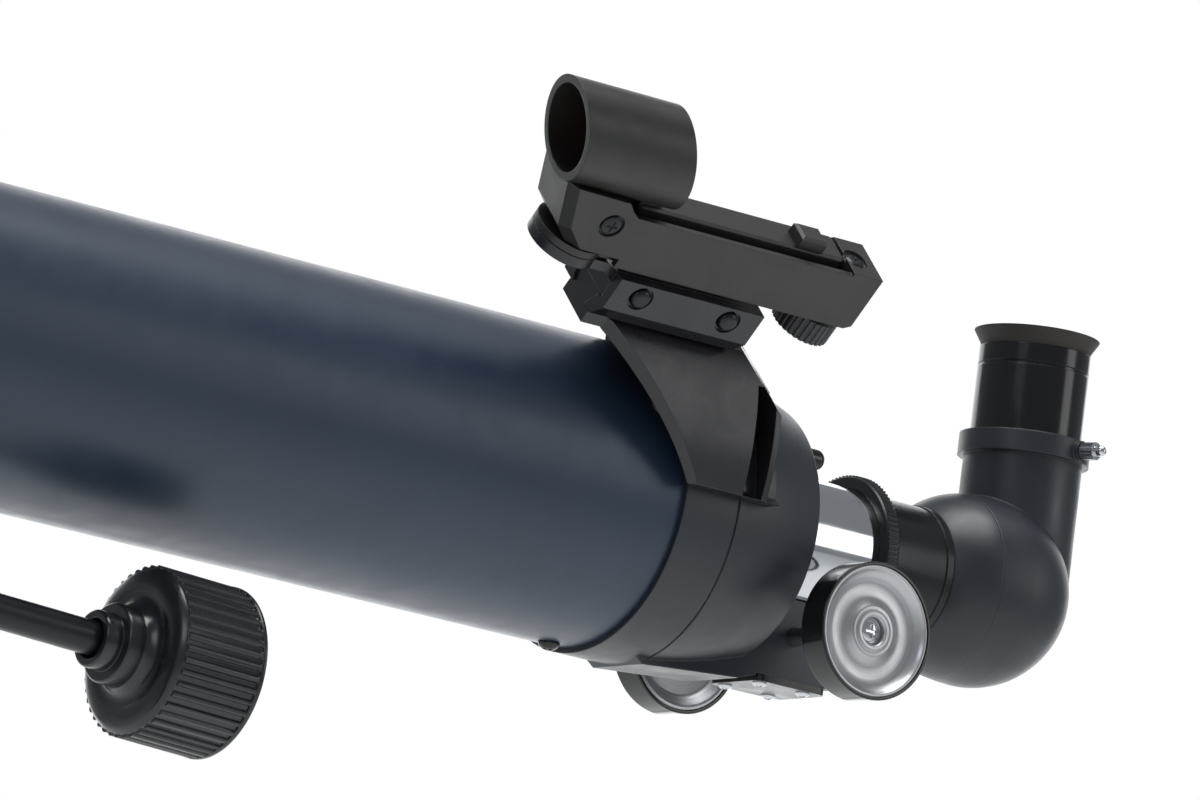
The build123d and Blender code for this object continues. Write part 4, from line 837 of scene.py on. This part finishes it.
def tube_point(station: float, angle: float, radius: float) -> Vector:
    """Give a point round the optical tube.

    Args:
        station: Distance behind the tube's rear end, mm.
        angle: From the top towards -Y, degrees.
        radius: From the optical axis, mm.

    Returns:
        The point in metres.
    """
    low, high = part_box("main_tube")
    middle = (low + high) / 2
    rear = Vector((high.x, middle.y, middle.z))
    return rear + Vector((station * MM, 0.0, 0.0)) + tube_outward(angle) * radius * MM


def tube_outward(angle: float) -> Vector:
    """Give the way out of the tube at an angle from the top towards -Y."""
    return Vector((0.0, -math.sin(math.radians(angle)), math.cos(math.radians(angle))))


@dataclass
class OpticalTube(SubAssembly):
    """Main tube, dew shield, cell and glass."""

    screw_angles: tuple[float, ...] = (60.0, 180.0, 300.0)
    screw_inset: float = 9.0
    tube_radius: float = 50.0
    head_radius: float = 3.6
    head_height: float = 2.6

    def build(self) -> None:
        """Build and dress the tube's pieces."""
        self.dress(NAVY_LACQUER, "main_tube")
        self.dress(HOUSING_ABS, "dew_shield", "objective_cell")
        self.dress(BLACK_ANODISED, "lens_spacer", "lens_retaining_ring", "light_baffles")
        self.dress(LENS_GLASS, "crown_lens", "flint_lens")
        low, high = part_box("main_tube")
        length = (high.x - low.x) / MM
        seats = [
            (tube_point(station, angle, self.tube_radius), tube_outward(angle))
            for station in (-self.screw_inset, self.screw_inset - length)
            for angle in self.screw_angles
        ]
        mesh = self.screws.drive(
            seats, self.paintshop.material(GLOSS_ACETAL), Head_Radius=self.head_radius,
            Head_Height=self.head_height, Shank_Radius=1.5, Shank_Length=4.5, Recess_Width=0.9,
        )
        self.fit("tube_screws_crossed", mesh, GLOSS_ACETAL, "optical_tube", "tube_screws")


@dataclass
class Focuser(SubAssembly):
    """Focuser housing, drawtube, rack, pinion, knobs and adapter."""

    collar_ribs: int = 96
    collar_rib_height: float = 0.5
    shaft_radius: float = 3.0

    def build(self) -> None:
        """Build and dress the focuser's pieces."""
        self.dress(HOUSING_ABS, "focuser_housing")
        self.dress(BRACKET_NYLON, "saddle_cover", "drawtube_rack")
        self.dress(CHROME_PLATE, "drawtube", "adapter_thumbscrew")
        self.dress(GLOSS_ACETAL, "focus_lock_screw")
        self.dress(PLATED_STEEL, "pinion_shaft")
        self.dress(BLACK_ANODISED, "adapter_tube")
        self.dress(GLOSS_ACETAL, "left_focus_rim", "right_focus_rim")
        low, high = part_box("pinion_shaft")
        facing = turned_aluminium((low + high) / 2, (0.0, 1.0, 0.0))
        for node in ("left_focus_face", "right_focus_face"):
            self._knob_face(node, facing)
        self._collar()
        self._knob_screws()
        self._cover_screws()

    def _collar(self) -> None:
        """Build the knurled drawtube collar."""
        low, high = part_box("drawtube_collar")
        inner = (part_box("drawtube")[1].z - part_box("drawtube")[0].z) / 2 / MM
        outer = (high.z - low.z) / 2 / MM
        length = (high.x - low.x) / MM
        middle = (low + high) / 2
        placing = stand_on(Vector((low.x, middle.y, middle.z)), Vector((1.0, 0.0, 0.0)))
        foot = outer - self.collar_rib_height
        core = lathe(
            eased(
                [
                    (0, inner), (0, foot - 0.4), (0.8, foot), (length - 0.8, foot),
                    (length, foot - 0.4), (length, inner),
                ],
                0.3,
            ),
            placing,
        )
        centred = placing @ Matrix.Translation((0.0, 0.0, length / 2 * MM))
        ribs = self.ribs.rim(
            foot, self.collar_ribs, centred, self.paintshop.material(BLACK_ANODISED),
            length=length - 1.8, width=1.0, height=self.collar_rib_height,
        )
        self.fit(
            "drawtube_collar_knurled", joined("collar", [core, ribs]), BLACK_ANODISED, "focuser",
            "drawtube_collar"
        )

    def _knob_face(self, node: str, finish: Finish) -> None:
        """Build a focus knob's turned face, dished between its rim and its boss.

        Args:
            node: The CAD face.
            finish: Its turned finish.
        """
        low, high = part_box(node)
        middle = (low + high) / 2
        side = 1.0 if middle.y > (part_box("pinion_shaft")[0].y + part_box("pinion_shaft")[1].y) / 2 else -1.0
        inner = low.y if side > 0 else high.y
        thick = (high.y - low.y) / MM
        rim = (high.z - low.z) / 2 / MM
        profile = [
            (3.6, self.shaft_radius), (3.6, 7.0), (2.6, rim - 5.0), (0.0, rim - 1.5), (0.0, rim),
            (thick, rim), (thick, rim - 1.0), (thick - 1.3, rim - 2.0), (thick - 2.4, rim - 3.6),
            (thick - 3.1, rim - 5.6), (thick - 3.3, rim - 8.0), (thick - 3.0, rim - 10.2),
            (thick - 2.2, rim - 12.0), (thick - 1.4, rim - 13.2), (thick - 1.4, rim - 14.3),
            (thick - 1.0, rim - 15.2), (thick - 1.0, rim - 16.4), (thick - 1.5, rim - 16.9),
            (thick - 3.6, rim - 16.9), (thick - 3.6, self.shaft_radius),
        ]
        placing = stand_on(Vector((middle.x, inner, middle.z)), Vector((0.0, side, 0.0)))
        self.fit(node + "_turned", lathe(eased(profile, 0.7), placing), finish, "focus_shaft", node)

    def _knob_screws(self) -> None:
        """Build the small screw in the middle of each focus knob."""
        low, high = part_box("focus_knob_screws")
        middle = (low + high) / 2
        thick = 1.6 * MM
        seats = [
            (Vector((middle.x, low.y + thick, middle.z)), Vector((0.0, -1.0, 0.0))),
            (Vector((middle.x, high.y - thick, middle.z)), Vector((0.0, 1.0, 0.0))),
        ]
        mesh = self.screws.drive(
            seats, self.paintshop.material(CHROME_PLATE), Head_Radius=(high.z - low.z) / 2 / MM,
            Head_Height=1.5, Shank_Radius=1.2, Shank_Length=1.2, Recess_Width=0.9,
        )
        self.fit("focus_knob_screws_crossed", mesh, CHROME_PLATE, "focus_shaft", "focus_knob_screws")

    def _cover_screws(self) -> None:
        """Build the four screws that hold the cover under the pinion."""
        low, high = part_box("saddle_screws")
        head = 2.4
        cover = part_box("saddle_cover")[0].z
        inset = head * MM
        seats = [
            (Vector((x, y, cover)), Vector((0.0, 0.0, -1.0)))
            for x in (low.x + inset, high.x - inset)
            for y in (low.y + inset, high.y - inset)
        ]
        mesh = self.screws.drive(
            seats, self.paintshop.material(CHROME_PLATE), Head_Radius=head, Head_Height=1.4,
            Shank_Radius=1.2, Shank_Length=6.0, Recess_Width=0.7,
        )
        self.fit("saddle_screws_crossed", mesh, CHROME_PLATE, "optical_tube", "saddle_screws")


@dataclass
class StarDiagonal(SubAssembly):
    """Diagonal shells, prism, barrel and eyepiece clamp screw."""

    def build(self) -> None:
        """Dress the diagonal's pieces."""
        self.dress(HOUSING_ABS, "diagonal_front_shell", "diagonal_rear_shell")
        self.dress(CHROME_PLATE, "diagonal_barrel", "eyepiece_thumbscrew")
        self.dress(LENS_GLASS, "diagonal_prism")


@dataclass
class Eyepiece(SubAssembly):
    """Eyepiece barrel, body, lenses and eyecup."""

    def build(self) -> None:
        """Dress the eyepiece's pieces."""
        self.dress(CHROME_PLATE, "eyepiece_barrel")
        self.dress(GLOSS_ACETAL, "eyepiece_body")
        self.dress(LENS_GLASS, "field_lens", "eye_lens")
        self.dress(EYECUP_RUBBER, "eyecup")


@dataclass
class RedDotFinder(SubAssembly):
    """Bracket, clamp, swivel, finder body and sight tube, rolled round the tube."""

    roll: float = 45.0

    def up(self) -> Vector:
        """Give the finder's own way up."""
        return tube_outward(self.roll)

    def near(self) -> Vector:
        """Give the way towards the finder's near side."""
        return Vector((0.0, -self.up().z, self.up().y))

    def build(self) -> None:
        """Build and dress the finder's pieces."""
        self.dress(BRACKET_NYLON, "finder_bracket", "finder_clamp", "finder_clamp_plate")
        self.dress(
            FINDER_ABS, "finder_body", "finder_rail", "finder_tube", "finder_swivel", "finder_light"
        )
        self.dress(RED_WINDOW, "finder_window")
        self.dress(BRACKET_NYLON, "finder_altitude_wheel", "finder_azimuth_wheel", "finder_switch")
        self.dress(BLACK_ANODISED, "finder_clamp_bolts", "finder_window_ring")
        self.cross_heads(
            "finder_screws", self._screw_way, BLACK_ANODISED, "finder", height=0.9, recess=0.7
        )
        self.cross_heads(
            "bracket_screws", self._out_of_tube, BLACK_ANODISED, "optical_tube", height=1.6, recess=0.9
        )

    def _screw_way(self, middle: Vector) -> Vector:
        """Give the way that a finder screw faces: up at the rear, outwards at the pivot."""
        low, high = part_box("finder_body")
        if middle.x > (low.x + high.x) / 2:
            return self.up()
        side = (middle - Vector((0.0, 0.0, axis_height()))).dot(self.near())
        return self.near() if side > 0 else -self.near()

    def _out_of_tube(self, middle: Vector) -> Vector:
        """Give the way straight out from the optical axis."""
        return Vector((0.0, middle.y, middle.z - axis_height()))


@dataclass
class AltAzimuthHead(SubAssembly):
    """Dovetail bar, saddle, turret, base and their locks."""

    def build(self) -> None:
        """Dress the head's pieces."""
        self.dress(BLACK_ANODISED, "dovetail_bar", "head_saddle", "azimuth_body", "azimuth_base")
        self.dress(PLATED_STEEL, "dovetail_screws", "altitude_bolt")
        self.dress(BRACKET_NYLON, "saddle_knob", "azimuth_lock_knob")


@dataclass
class PanHandle(SubAssembly):
    """The handle that turns the head, with its fluted grip."""

    tilt: float = 2.5
    grip_radius: float = 27.6
    rib_count: int = 44
    rib_height: float = 0.8
    band: float = 30.2  # length of the fluted band
    boss: float = 12.0  # how far the front boss stands out
    nose: float = 18.0  # how far the nose round the rod stands out

    def build(self) -> None:
        """Build and dress the handle's pieces."""
        self.dress(BLACK_ANODISED, "handle_rod")
        self._grip()

    def _grip(self) -> None:
        """Build the grip with its ringed front and fluted band."""
        low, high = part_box("handle_rod")
        way = Vector((math.cos(math.radians(self.tilt)), 0.0, -math.sin(math.radians(self.tilt))))
        on_axis = (low + high) / 2
        _, knob_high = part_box("handle_knob")
        rear = on_axis + way * (
            (knob_high.x - on_axis.x) / way.x - math.sin(math.radians(self.tilt)) * self.grip_radius * MM
        )
        band, boss, nose = self.band, self.band + self.boss, self.band + self.nose
        foot = self.grip_radius - self.rib_height
        placing = stand_on(rear, way)
        profile = [
            (-nose, 6.3), (-nose, 8.6), (0.6 - nose, 9.2), (-boss - 0.6, 9.2), (-boss, 9.2),
            (-boss, 12.2), (0.6 - boss, 12.8), (-band - 5.5, 12.8), (-band - 3.2, 15.0),
            (-band - 2.4, 17.5), (-band - 3.0, 19.5), (-band - 2.8, 22.0), (-band - 1.8, 25.0),
            (-band - 0.4, foot - 0.4), (-band, foot - 0.4), (-2.2, foot - 0.4), (-2.0, self.grip_radius),
            (-0.6, self.grip_radius), (0.0, self.grip_radius - 0.8), (0.0, 9.0), (-4.0, 8.0), (-4.0, 0.0),
            (-band - 4.0, 0.0), (-band - 4.0, 6.3),
        ]
        core = lathe(eased(profile, 0.9), placing)
        centred = placing @ Matrix.Translation((0.0, 0.0, (-band - 2.0) / 2 * MM))
        ribs = self.ribs.rim(
            foot - 0.4, self.rib_count, centred, self.paintshop.material(GRIP_PHENOLIC),
            length=band - 2.0, width=2.6, height=self.rib_height + 0.3, uneven=0.35,
        )
        self.fit("handle_grip", joined("grip", [core, ribs]), GRIP_PHENOLIC, "pan_handle", "handle_knob")


@dataclass
class Studio:
    """Pale floor, pale background, soft boxes and the camera."""

    floor_height: float = -1000.0  # from the head's underside, mm
    floor_radius: float = 9000.0
    matt_light: float = 0.7  # the room's light on matt surfaces
    gloss_light: float = 0.34  # and as shiny ones mirror it
    background: str = "FFFFFF"
    eye: tuple[float, float, float] = (-1.7438, -2.8795, -0.4086)
    right: tuple[float, float, float] = (0.7834, -0.6097, 0.1206)
    up: tuple[float, float, float] = (-0.2015, -0.0656, 0.9773)
    back: tuple[float, float, float] = (-0.5879, -0.7899, -0.1742)
    lens: float = 338.4
    sensor: float = 36.0

    def build(self) -> None:
        """Set up the whole studio."""
        self._background()
        self._floor()
        for name, place, size, power, colour in (
            ("top_softbox", (0.2, -0.3, 2.6), (2.2, 1.4), 62.0, "FFFFFF"),
            ("left_softbox", (-2.4, -1.4, 1.6), (1.2, 1.2), 10.0, "F4F8FF"),
            ("right_softbox", (2.4, -2.0, 0.9), (1.0, 1.4), 9.0, "FFFFFF"),
            ("rear_softbox", (2.0, 2.7, 0.8), (5.0, 3.0), 75.0, "FFFFFF"),
        ):
            self._softbox(name, Vector(place), size, power, colour)
        self._camera()

    def _background(self) -> None:
        """Light the room evenly and keep what the camera sees of it plain."""
        world = bpy.data.worlds.new("pale_room")
        bpy.context.scene.world = world
        world.use_nodes = True
        tree = world.node_tree
        tree.nodes.clear()
        seen = add_node(tree, "ShaderNodeBackground", {"Color": linear(self.background), "Strength": 1.0})
        path = add_node(tree, "ShaderNodeLightPath")
        # Matt surfaces take more of the room's light than shiny ones mirror, so blacks stay deep.
        strength = add_node(
            tree, "ShaderNodeMapRange",
            {
                "Value": path.outputs["Is Diffuse Ray"], "To Min": self.gloss_light,
                "To Max": self.matt_light,
            },
        )
        lit = add_node(
            tree, "ShaderNodeBackground", {"Color": linear("E9EDF2"), "Strength": strength.outputs[0]}
        )
        mixed = add_node(
            tree, "ShaderNodeMixShader",
            {0: path.outputs["Is Camera Ray"], 1: lit.outputs[0], 2: seen.outputs[0]}
        )
        add_node(tree, "ShaderNodeOutputWorld", {0: mixed.outputs[0]})

    def _floor(self) -> None:
        """Lay a round pale floor far below the head."""
        shape = bmesh.new()
        bmesh.ops.create_circle(
            shape, cap_ends=True, segments=96, radius=self.floor_radius * MM,
            matrix=Matrix.Translation((0.0, 0.0, self.floor_height * MM)),
        )
        mesh = bpy.data.meshes.new("floor")
        shape.to_mesh(mesh)
        shape.free()
        # Matt painted board, rolled: an even pale grey with no shine.
        material = bpy.data.materials.new("rolled_matt_emulsion")
        material.use_nodes = True
        shader = material.node_tree.nodes["Principled BSDF"]
        shader.inputs["Base Color"].default_value = linear("F0F0EE")
        shader.inputs["Roughness"].default_value = 0.9
        mesh.materials.append(material)
        mesh_piece("floor", mesh)

    def _softbox(
        self, name: str, place: Vector, size: tuple[float, float], power: float, colour: str
    ) -> None:
        """Hang a soft box that looks at the telescope.

        Args:
            name: The light's name.
            place: Where it hangs, metres.
            size: Width and height, metres.
            power: Watts.
            colour: sRGB hex colour.
        """
        light = bpy.data.lights.new(name, "AREA")
        light.shape = "RECTANGLE"
        light.size, light.size_y = size
        light.energy = power
        light.color = linear(colour)[:3]
        lamp = bpy.data.objects.new(name, light)
        bpy.context.scene.collection.objects.link(lamp)
        lamp.location = place
        lamp.visible_camera = False
        target = Vector((0.35, 0.0, 0.2))
        lamp.rotation_euler = (place - target).to_track_quat("Z", "Y").to_euler()

    def _camera(self) -> None:
        """Place the camera."""
        camera = bpy.data.cameras.new("camera")
        camera.lens = self.lens
        camera.sensor_width = self.sensor
        camera.clip_start, camera.clip_end = 0.05, 60.0
        holder = bpy.data.objects.new("camera", camera)
        bpy.context.scene.collection.objects.link(holder)
        axes = Matrix((self.right, self.up, self.back)).transposed().to_4x4()
        holder.matrix_world = Matrix.Translation(self.eye) @ axes
        bpy.context.scene.camera = holder


def main() -> None:
    """Build every sub-assembly in order."""
    logging.basicConfig(level=logging.INFO, format="%(name)s: %(message)s")
    tools = (Paintshop(), ScrewJig(), RibJig())
    for assembly in (OpticalTube, Focuser, StarDiagonal, Eyepiece, RedDotFinder, AltAzimuthHead, PanHandle):
        assembly(*tools).build()
        LOG.info("finished %s", assembly.__name__)
    Studio().build()
    bpy.context.scene.view_settings.view_transform = "Standard"


if __name__ == "__main__":
    main()
